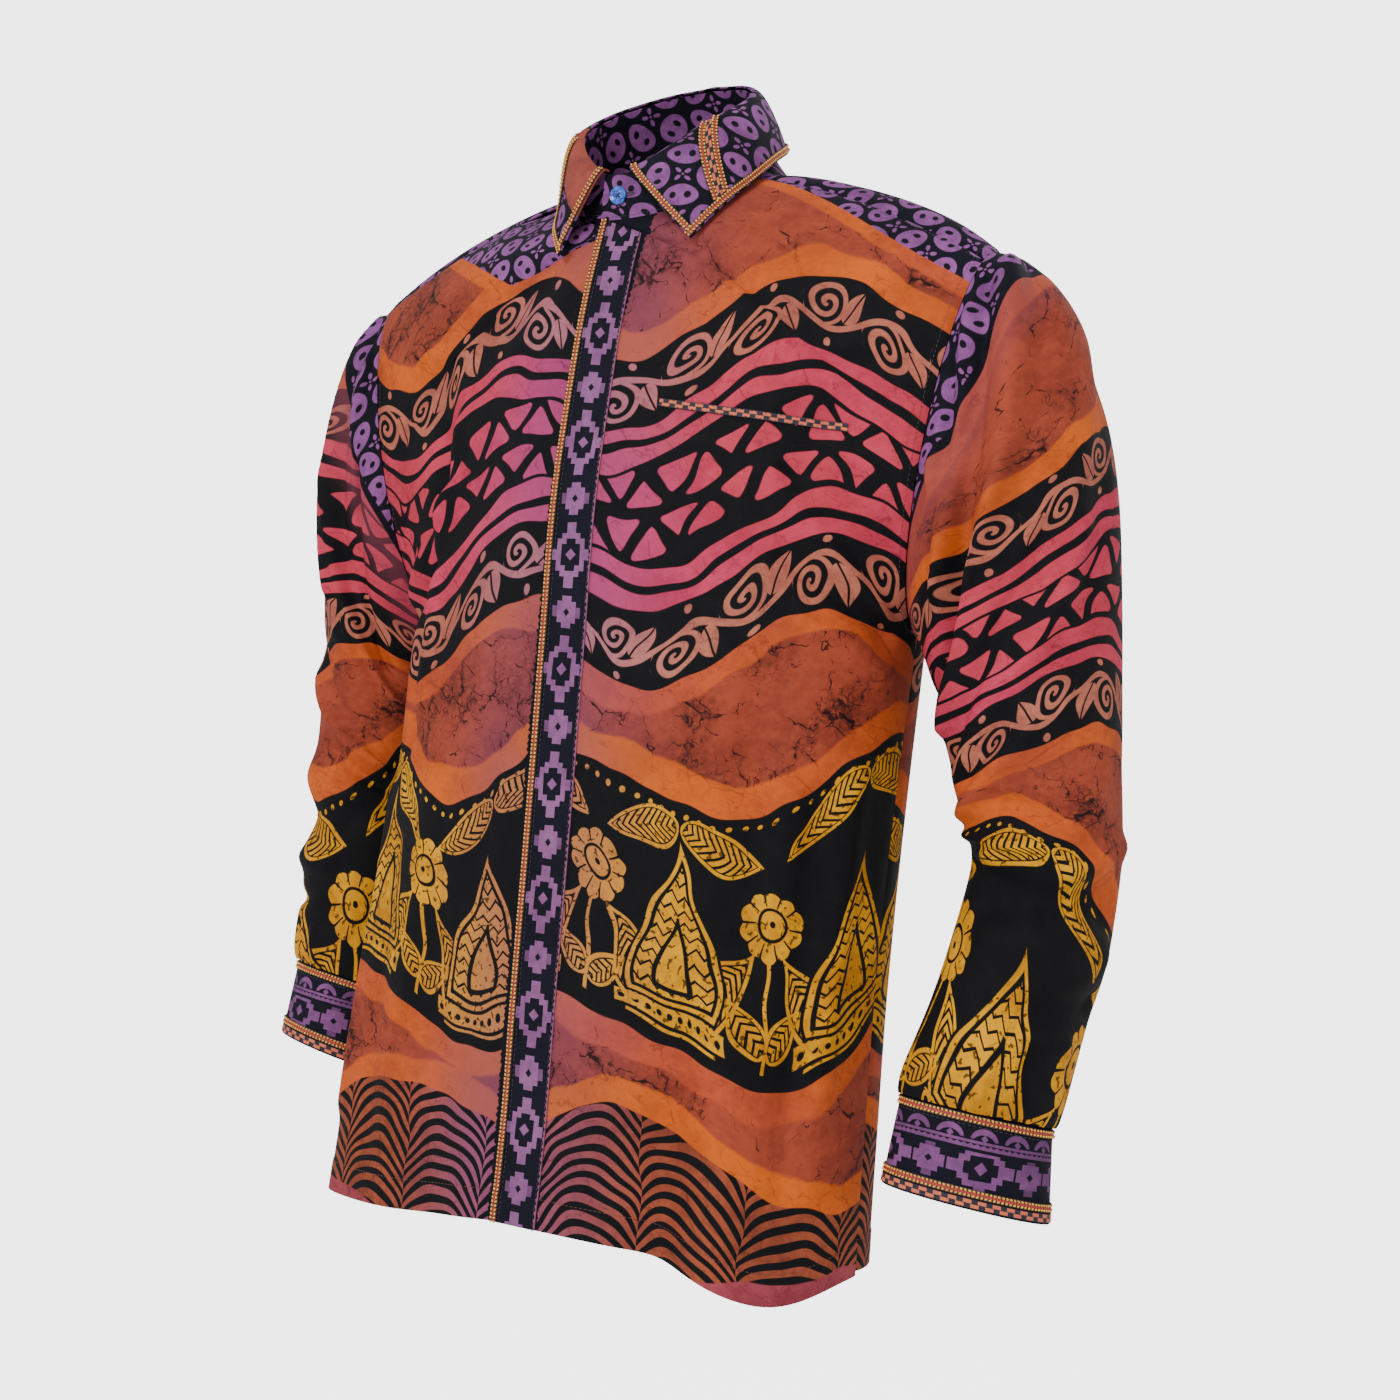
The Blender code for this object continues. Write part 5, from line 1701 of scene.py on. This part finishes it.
def cloth_coordinates(tree):
    """The cloth's own flat coordinates, in metres."""
    source, parts = tree.nodes.new("ShaderNodeUVMap"), tree.nodes.new("ShaderNodeSeparateXYZ")
    source.uv_map = UV
    tree.links.new(source.outputs["UV"], parts.inputs["Vector"])
    return Field(tree, parts.outputs["X"]), Field(tree, parts.outputs["Y"])


def value_of(tree, name):
    """A number stored on the cloth's points."""
    node = tree.nodes.new("ShaderNodeAttribute")
    node.attribute_name = name
    return Field(tree, node.outputs["Fac"])


def cotton(name, drawing, shift=(0.0, 0.0), mirrored=False):
    """A cotton finish; drawing(u, v) gives its colour."""
    made, tree, shader = new_material(name, Specular_IOR_Level=0.15)
    u, v = cloth_coordinates(tree)
    color = drawing((-u if mirrored else u) + shift[0], v + shift[1])
    tree.links.new(color, shader.inputs["Base Color"])
    tree.links.new((grain(u, v, 90, 1) * 0.14 + 0.72).socket, shader.inputs["Roughness"])
    with_bump(tree, shader, use("cotton_weave", u, v)["Height"], 0.75)
    return made


NAVY = "080814"
TOOTH = 0.0041  # length of a saw tooth along the closing edge


def kawung_color(u, v):
    """Purple ovals on navy."""
    full = full_dye(u, v)
    purple = mixed("66386a", "8a508c", full)
    shape = use("kawung", u, v)["Purple"]
    return mixed(mixed("07070f", "0d0c1b", full), purple, shape)


def jagged_edge(edge, v, width):
    """1 within a width of the closing edge, with a saw-toothed limit."""
    tooth = saw(v, TOOTH) * 0.0022 + (grain(edge, v, 330, 1) - 0.5) * 0.0022
    return (edge + tooth - width).inside()


def front_color(u, v):
    """The print under a slanting kawung top; its navy strip widens at the neck."""
    edge = abs(u)
    top = v + edge * 0.573 - 0.7483 + (u * 38).sine() * 0.003
    color = use("hill_print", u, v, Edge=edge, Top=top)["Color"]
    color = mixed(color, kawung_color(u, v), top.outside())
    return mixed(color, NAVY, jagged_edge(edge, v, v.step(0.555, 0.640) * 0.0075 + 0.0360))


def right_front_color(u, v):
    """As the left front, but its kawung top comes down to a point beside the collar."""
    edge = abs(u)
    top = v - 0.600 - ((edge - 0.11) * 0.5).most((edge - 0.11) * -0.25)
    color = use("hill_print", u - 0.05, v, Edge=edge - 0.012, Top=top)["Color"]
    color = mixed(color, kawung_color(u, v), top.outside())
    return mixed(color, NAVY, jagged_edge(edge, v, 0.0415))


def back_color(u, v):
    return use("hill_print", u + 0.31, v)["Color"]


def sleeve_color(u, v):
    """The print, slanting to the front, with one row of kawung under the armhole seam."""
    head = value_of(u.tree, "head")
    slant = (v - 0.16).most(0.0) * u * 1.6 + (0.16 - v).most(0.0) * 0.20
    color = use("hill_print", u, v + slant + 0.135, Top=-head)["Color"]
    plum = mixed(color, "7c3c4c", (1 - (head - 0.012).step(-0.010, 0.022)) * 0.45)
    row = kawung_color(value_of(u.tree, "round"), value_of(u.tree, "middle") + KAWUNG_CELL / 2)
    strip = mixed(NAVY, row, (head + 0.0045).inside())
    return mixed(plum, strip, head.inside(0.0004))


PRINT = {
    "shirt_front_left": cotton("hill_print_left_front", front_color),
    "shirt_front_right": cotton("hill_print_right_front", right_front_color, mirrored=True),
    "shirt_back": cotton("hill_print_back", back_color),
    "shirt_sleeve_left": cotton("hill_print_left_sleeve", sleeve_color, shift=(0.16, 0.0)),
    "shirt_sleeve_right": cotton("hill_print_right_sleeve", sleeve_color, shift=(0.07, 0.0)),
}
PRINT["shirt_yoke"] = cotton("kawung_cotton_yoke", kawung_color, shift=(0.004, 0.006))


def leaf_color(u, v):
    """Kawung, running out into plain rust on the wearer's right."""
    color = kawung_color(u, v)
    full = full_dye(u, v)
    rust = mixed("73342c", "96463b", full)
    place = value_of(u.tree, "rust")
    return mixed(color, rust, (-place + (u * 70).sine() * 0.0016).inside(0.0006))


def placket_color(u, v):
    """A stepped border on navy, with a saw-toothed mauve line at its outer edge."""
    full = full_dye(u, v)
    purple = mixed("6a4068", "875682", full)
    shape = use("stepped_border", u - 0.0018, v + 0.012, Period=0.0705)["Purple"]
    tooth = saw(v, TOOTH) * 0.0020 + (grain(u, v, 330, 1) - 0.5) * 0.0016
    line = (0.0155 - u + tooth).inside(0.0002)
    dark = mixed(NAVY, "0e0d1d", full)
    return mixed(mixed(dark, purple, shape), mixed(purple, "8c4a5c", full), line)


def cuff_color(u, v):
    """From the top: crescents over a thin line, a jagged line, and a stepped border."""
    full = full_dye(u, v)
    purple = mixed("5d365f", "7f4b7e", full)
    x = nearest_copy(u, 0.021)
    top = 0.0520 - v
    crescent = dot(x, (top - 0.0145) * 1.2, 0.0084) * (top - 0.0140).inside()
    crescent = crescent * (hypot(x, (top - 0.0170) * 1.2) - 0.0072).outside(0.0002)
    eye = (abs(x) + abs(top - 0.0132) - 0.0022).inside()
    thin = stroke(top - 0.0158, 0.0008)
    tooth = saw(u, 0.0040) * 0.0024
    jag = (abs(top - 0.0188 + tooth * 0.5) - 0.0008 - tooth * 0.5).inside(0.0002)
    shape = use("stepped_border", (v - 0.0215) * 0.98, u, Period=0.064)["Purple"]
    shape = shape * (top - 0.0215).outside(0.0002)
    ink = crescent.most(eye).most(thin).most(jag).most(shape)
    return mixed(mixed(NAVY, "0e0d1d", full), purple, ink)


PRINT["shirt_collar_stand"] = cotton("kawung_cotton_stand", kawung_color, shift=(0.010, 0.012))
PRINT["shirt_collar_leaf"] = cotton("kawung_cotton_leaf", leaf_color)
PRINT["shirt_placket"] = cotton("stepped_border_placket", placket_color)
for side in ("left", "right"):
    PRINT[f"shirt_cuff_{side}"] = cotton(f"stepped_border_cuff_{side}", cuff_color)

# %% [markdown]
# ## Braid, tape and thread
# The braid is a dark red band with two rows of slanted golden loops on it. The tape is woven
# in two rows of orange blocks on navy, set half a block apart.

# %% Trim finishes
def braid_band():
    made, tree, shader = new_material("braid_band", Roughness=0.7)
    u, v = cloth_coordinates(tree)
    middle = (abs(u) - 0.0007).inside(0.0002)
    rung = (v * (2 * math.pi / 0.0019)).sine().step(-0.3, 0.3)
    red = mixed("7e1f1c", "b5322a", rung)
    edge = mixed("1c0c0e", "4a2018", rung)
    tree.links.new(mixed(edge, red, middle), shader.inputs["Base Color"])
    with_bump(tree, shader, rung * 0.00012, 0.6)
    return made


def object_coordinates(tree):
    source, parts = tree.nodes.new("ShaderNodeTexCoord"), tree.nodes.new("ShaderNodeSeparateXYZ")
    tree.links.new(source.outputs["Object"], parts.inputs["Vector"])
    return [Field(tree, parts.outputs[axis]) for axis in "XYZ"]


def thread(name, dark, light, roughness=0.6):
    """Spun thread: two close shades in fine lumps."""
    made, tree, shader = new_material(name, Sheen_Weight=0.15)
    x, y, z = object_coordinates(tree)
    lumps = grain(x + y * 0.7, z, 900, 2).step(0.35, 0.65)
    tree.links.new(mixed(dark, light, lumps), shader.inputs["Base Color"])
    tree.links.new((roughness + lumps * 0.1).socket, shader.inputs["Roughness"])
    return made


BLOCK = 0.0088  # from one orange block of the tape to the next


def checked_tape():
    made, tree, shader = new_material("checked_tape_weave", Roughness=0.75)
    u, v = cloth_coordinates(tree)
    row = u.step(-0.0001, 0.0001)
    block = (saw(v + row * (BLOCK / 2), BLOCK) * BLOCK - 0.0025).inside(0.0002)
    block = block * (abs(abs(u) - 0.00118) - 0.00100).inside(0.00015)
    ribs = (v * (2 * math.pi / 0.0007)).sine().step(-0.6, 0.6)
    full = full_dye(u, v)
    warm = mixed(mixed("b4502c", "e07a44", ribs), "c05a44", full)
    dark = mixed("0e0e1c", "1a1628", ribs)
    tree.links.new(mixed(dark, warm, block), shader.inputs["Base Color"])
    with_bump(tree, shader, ribs * 0.00008 + block * 0.00012, 0.6)
    return made


BAND, TAPE = braid_band(), checked_tape()
GOLD = thread("golden_braid_thread", "cc8410", "f4c648")
DARK_THREAD = thread("dark_thread", "241c26", "3d3140")
RUST_THREAD = thread("rust_thread", "54241e", "70352a")
for name, obj in PIECES.items():
    finish = PRINT.get(name) or (TAPE if "tape" in name else BAND if "braid" in name else None)
    if finish:
        obj.data.materials.clear()
        obj.data.materials.append(finish)

# %% Braid links
def raised_path(line, normals, lift):
    return np.asarray(line) + np.asarray(normals) * lift, normals


LOOP = dict(Spacing=0.0025, Length=0.0019, Width=0.00135, Height=0.0010, Thread=GOLD)
LOOP_SIDE, LOOP_SLANT = 0.00135, 0.42  # metres beside the braid's middle, and radians
for name, made in PATHS.items():
    paths = [raised_path(line, normals, 0.00025) for line, normals, _ in made]
    rows = [
        links_along(f"{name}_row_{k}", paths, Side=side * LOOP_SIDE, Slant=side * LOOP_SLANT, **LOOP)
        for k, side in enumerate((-1, 1))
    ]
    joined(f"{name}_links", rows)

# %% [markdown]
# ## Stitches
# Seams and edges are held by rows of short stitches a few millimetres from the edge. Their
# paths are lines of the panels' own grids, so they lie exactly on the folded cloth.

# %% Stitch paths
STITCH = dict(Spacing=0.0031, Length=0.0024, Width=0.00042, Height=0.00034)
STITCH_LIFT, FROM_ARMHOLE = 0.00012, 0.0060


def stitched(grid, facing, distance, across=False, start=0, from_far=False):
    """A line that keeps its distance from a panel's first or last row, or across it, column."""
    run = lengths(grid, 1) if across else lengths(grid, 0).T
    places = np.minimum(np.arange(start, len(run), 1.0), len(run) - 1.001)
    lines = [run[int(place)] for place in places]
    others = np.array([place_at(line[-1] - distance if from_far else distance, line) for line in lines])
    rows, columns = (places, others) if across else (others, places)
    return laid_on(grid, facing, rows, columns, STITCH_LIFT)


above_pit = FRONT_ROWS[0] + 2
back, yoke = BACK[0], YOKE[0]
hem_paths = [stitched(FRONTS[s][0], s, HEM, start=12) for s in SIDES] + [stitched(back, 1, HEM)]
seam_paths = [stitched(yoke, 1, 0.0022), stitched(back, 1, 0.0030, from_far=True)]
for s in SIDES:
    seam_paths.append(stitched(FRONTS[s][0], s, FROM_ARMHOLE, True, above_pit, from_far=True))
    seam_paths.append(stitched(FRONTS[s][0], s, 0.0025, from_far=True))
for grid, start in ((back, above_pit), (yoke, 0)):
    for last_column in (False, True):
        seam_paths.append(stitched(grid, 1, FROM_ARMHOLE, True, start, from_far=last_column))

placket_paths = []
for distance in (0.0070, PLACKET_WIDTH - 0.0016):
    spots = front_rows, front_column(distance)
    placket_paths.append(laid_on(front, LEFT, *spots, PLACKET_LIFT + STITCH_LIFT))
trim_paths = []
for up in (0.0006, TAPE_WIDTH - 0.0006):
    f = up / TAPE_WIDTH * (pocket.shape[0] - 1)
    spots = bent(pocket, np.full(len(mouth), f), np.arange(len(mouth), dtype=float))
    trim_paths.append(laid_on(front, LEFT, spots[:, 0], spots[:, 1], POCKET_LIFT + 0.0001))
trim_paths.append(stitched(STAND[0], 1, 0.0018))
for s in SIDES:
    trim_paths.append(stitched(CUFFS[s][0][::-1], -s, 0.0070, start=6, from_far=True))

stitches = []
for key, paths, finish in (
    ("hem", hem_paths, RUST_THREAD),
    ("seam", seam_paths, DARK_THREAD),
    ("placket", placket_paths, DARK_THREAD),
    ("trim", trim_paths, DARK_THREAD),
):
    stitches.append(links_along(f"stitches_{key}", paths, Thread=finish, **STITCH))
joined("shirt_stitches", stitches)

# %% [markdown]
# ## Buttons
# A shirt button is a small disc with a raised rim, a dished face and four holes, sewn on
# with crossed thread. The disc is turned from its profile, and the holes are cut through
# with a Boolean, since they have to show right through the face.

# %% A four-hole button
def button_finish():
    made, tree, shader = new_material("glossy_blue", Coat_Weight=0.6, Coat_Roughness=0.05)
    x, y, z = object_coordinates(tree)
    swirl = grain(x * 0.6 + y, z, 420, 3, 0.6, seed=0.4).step(0.35, 0.70)
    tree.links.new(mixed("0a2c8a", "3f7fe0", swirl), shader.inputs["Base Color"])
    tree.links.new((0.10 + swirl * 0.06).socket, shader.inputs["Roughness"])
    return made


GLOSS = button_finish()


def lathe(profile, steps=48):
    """A closed disc turned from (radius, height) points."""
    shape = bmesh.new()
    rings = []
    for radius, height in profile:
        if radius == 0:
            rings.append([shape.verts.new((0, 0, height))] * steps)
            continue
        angles = (2 * math.pi * k / steps for k in range(steps))
        rings.append([shape.verts.new((radius * math.cos(a), radius * math.sin(a), height)) for a in angles])
    for low, high in zip(rings, rings[1:]):
        for k in range(steps):
            corners = [low[k], low[(k + 1) % steps], high[(k + 1) % steps], high[k]]
            shape.faces.new(list(dict.fromkeys(corners)))
    bmesh.ops.recalc_face_normals(shape, faces=shape.faces)
    return shape


def rod(shape, sides, radius, depth, place):
    sizes = dict(segments=sides, radius1=radius, radius2=radius, depth=depth)
    bmesh.ops.create_cone(shape, cap_ends=True, matrix=place, **sizes)


def make_button(name, centre, outward, radius=0.0060):
    """A button whose back rests at the centre and whose face looks outwards."""
    r = radius
    profile = [(0, 0), (0.80 * r, 0), (0.93 * r, 0.0003), (r, 0.0009), (r, 0.0016), (0.96 * r, 0.0021)]
    profile += [(0.88 * r, 0.0024), (0.79 * r, 0.0022), (0.72 * r, 0.0018), (0.50 * r, 0.00155), (0, 0.0015)]
    disc = new_object(name, to_mesh(lathe(profile), name))
    drill, hole = bmesh.new(), 0.0009775  # from the button's middle to a hole's, both ways
    for sx, sy in ((1, 1), (-1, 1), (-1, -1), (1, -1)):
        rod(drill, 16, 0.00062, 0.006, Matrix.Translation((sx * hole, sy * hole, 0.001)))
    cutter = new_object("drill", to_mesh(drill, "drill"))
    cut = disc.modifiers.new("holes", "BOOLEAN")
    cut.object, cut.operation, cut.solver = cutter, "DIFFERENCE", "EXACT"
    plain(disc)
    bpy.data.objects.remove(cutter, do_unlink=True)
    disc.data.materials.append(GLOSS)
    threads = bmesh.new()
    for sx, sy in ((1, 1), (1, -1)):
        turn = Matrix.Rotation(math.atan2(sy, sx), 4, "Z") @ Matrix.Rotation(math.pi / 2, 4, "Y")
        for shift in (-0.00018, 0.00018):
            at = Matrix.Translation((-shift * sy, shift * sx, 0.00175)) @ turn
            rod(threads, 8, 0.00020, 0.0027, at)
    sewn = new_object("sewn", to_mesh(threads, "sewn"))
    sewn.data.materials.append(DARK_THREAD)
    made = joined(name + "_made", [disc, sewn])
    z = Vector(outward).normalized()
    x = Vector((0, 0, 1))
    x = (x - z * x.dot(z)).normalized()
    made.data.transform(Matrix.Translation(centre) @ Matrix((x, z.cross(x), z)).transposed().to_4x4())
    made.data.shade_smooth()
    made.data.set_sharp_from_angle(angle=math.radians(40))
    made.name = made.data.name = name
    PIECES[name] = PIECES.pop(name + "_made")
    return made


def middle_row(grid):
    return (len(grid) - 1) / 2


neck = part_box("neck_button")
spot = [(a + b) / 2 for a, b in zip(*neck)]
stand_points = STAND[0]
left_end = stand_points[int(middle_row(stand_points)), :60]
column = int(np.argmin(np.abs(left_end[:, 0] - spot[0])))
row = float(place_at(spot[2], stand_points[:, column, 2]))
point, normal = laid_on(stand_points, 1, [row], [float(column)], 0.0001)
make_button("collar_button", point[0], normal[0])
for side, name in SIDES.items():
    grid = CUFFS[side][0]
    point, normal = laid_on(grid, side, [middle_row(grid)], [grid.shape[1] - 6.0], 0.0002)
    make_button(f"wrist_button_{name}", point[0], normal[0])

# %% Buttonholes
def buttonhole(grid, facing, row, column, length, rows_wide, along_row=True):
    """A ring of close stitches round a slit."""
    turns = np.linspace(0, 2 * math.pi, 41)
    a, b = length / 2 * np.cos(turns), rows_wide * np.sin(turns)
    rows, columns = (row + b, column + a) if along_row else (row + a, column + b)
    return laid_on(grid, facing, rows, columns, 0.00015)


holes = [buttonhole(stand_points, 1, row, column + 1.0, 6.0, 0.5)]
for side in SIDES:
    grid = CUFFS[side][0]
    holes.append(buttonhole(grid, side, middle_row(grid), grid.shape[1] - 6.5, 6.2, 0.45))
close_stitch = dict(Spacing=0.0006, Length=0.0005, Width=0.0016, Height=0.0005)
rings = links_along("buttonhole_ring", holes, Thread=DARK_THREAD, **close_stitch)
joined("shirt_buttonholes", [rings])

# %% [markdown]
# ## Replace the solids
# Each piece stands for its solid of the plain model and rides on the shirt's one body, and
# the size that each cloth piece was cut to is printed.

# %% Replace and measure the cuts
CUTS = {
    "front_left": (FRONTS[LEFT], "printed_cotton"),
    "front_right": (FRONTS[RIGHT], "printed_cotton"),
    "back": (BACK, "printed_cotton"),
    "yoke": (YOKE, "kawung_cotton"),
    "sleeve_left": (SLEEVES[LEFT], "printed_cotton"),
    "sleeve_right": (SLEEVES[RIGHT], "printed_cotton"),
    "cuff_left": (CUFFS[LEFT], "border_cotton"),
    "cuff_right": (CUFFS[RIGHT], "border_cotton"),
    "collar_stand": (STAND, "border_cotton"),
    "collar_leaf": (COLLAR, "kawung_cotton"),
    "placket": (PLACKET[1:], "border_cotton"),
}
OTHER_NAMES = {
    "collar_button": "neck_button",
    "wrist_button_left": "cuff_button_left",
    "wrist_button_right": "cuff_button_right",
}
for name, piece in PIECES.items():
    node = OTHER_NAMES.get(name, name.removesuffix("_band").removeprefix("shirt_"))
    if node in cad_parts:
        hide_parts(node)
    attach(piece, "root")
for name, (piece, _) in CUTS.items():
    size, area = flat_size(piece[1]), flat_area(piece[1])
    area = max(area, 0.3 * size[0] * size[1])
    print(f"{name}: cut {size[0]:.3f} x {size[1]:.3f} m, {area:.4f} m2")

# %% [markdown]
# ## Camera, floor and light
# The camera stands to the wearer's left of the front, at chest height, and looks almost
# level. Large soft lamps and a pale room keep the shadows gentle, as in a studio.

# %% Camera
def camera_at(azimuth, distance, height, yaw, pitch, roll, lens):
    """A camera that stands round the shirt and looks almost level at it."""
    a, p, r = math.radians(azimuth + yaw), math.radians(pitch), math.radians(roll)
    forward = Vector((-math.sin(a) * math.cos(p), math.cos(a) * math.cos(p), math.sin(p)))
    right = forward.cross(Vector((0, 0, 1))).normalized()
    up = right.cross(forward)
    across = right * math.cos(r) + up * math.sin(r)
    upwards = up * math.cos(r) - right * math.sin(r)
    turn = Matrix((across, upwards, -forward)).transposed().to_4x4()
    a = math.radians(azimuth)
    place = Vector((distance * math.sin(a), -distance * math.cos(a), height))
    data = bpy.data.cameras.new("camera")
    data.lens, data.sensor_width = lens, 36
    obj = new_object("camera", data)
    obj.matrix_world = Matrix.Translation(place) @ turn
    bpy.context.scene.camera = obj


camera_at(azimuth=34.2, distance=1.71, height=-0.36, yaw=-0.56, pitch=0.35, roll=1.4, lens=67.37)


# %% Floor and light
def lamp(name, place, aim, size, watts):
    data = bpy.data.lights.new(name, "AREA")
    data.shape, data.size, data.energy = "DISK", size, watts
    obj = new_object(name, data)
    obj.location = place
    obj.rotation_euler = (Vector(aim) - Vector(place)).to_track_quat("-Z", "Y").to_euler()


def brighter_in_view(tree, light, glow, socket):
    """Sends light, and so much more to what the camera sees directly, to a strength socket."""
    path, sum_of = tree.nodes.new("ShaderNodeLightPath"), tree.nodes.new("ShaderNodeMath")
    sum_of.operation = "MULTIPLY_ADD"
    tree.links.new(path.outputs["Is Camera Ray"], sum_of.inputs[0])
    sum_of.inputs[1].default_value, sum_of.inputs[2].default_value = glow, light
    tree.links.new(sum_of.outputs[0], socket)


ROOM_GLOW = 3.05
lamp("key", (0.3, -3.0, 1.3), (0, 0, -0.35), size=1.3, watts=78)
lamp("fill", (2.6, -1.4, 0.2), (0, 0, -0.35), size=2.2, watts=8)
lamp("back", (0.4, 2.6, 1.4), (0, 0, -0.3), size=2.0, watts=24)
world = bpy.data.worlds.new("studio")
world.use_nodes = True
paper = world.node_tree.nodes["Background"]
paper.inputs["Color"].default_value = (1, 1, 1, 1)
brighter_in_view(world.node_tree, 0.95, ROOM_GLOW, paper.inputs["Strength"])
bpy.context.scene.world = world
bpy.ops.mesh.primitive_plane_add(size=30, location=(0, 0, -1.45))
floor = bpy.context.object
floor.name = "floor"
matt = dict(Base_Color=(0.9, 0.9, 0.9, 1), Roughness=0.9, Emission_Color=(1, 1, 1, 1))
pale, tree, surface = new_material("pale_floor", **matt)
brighter_in_view(tree, 0.0, ROOM_GLOW, surface.inputs["Emission Strength"])
floor.data.materials.append(pale)
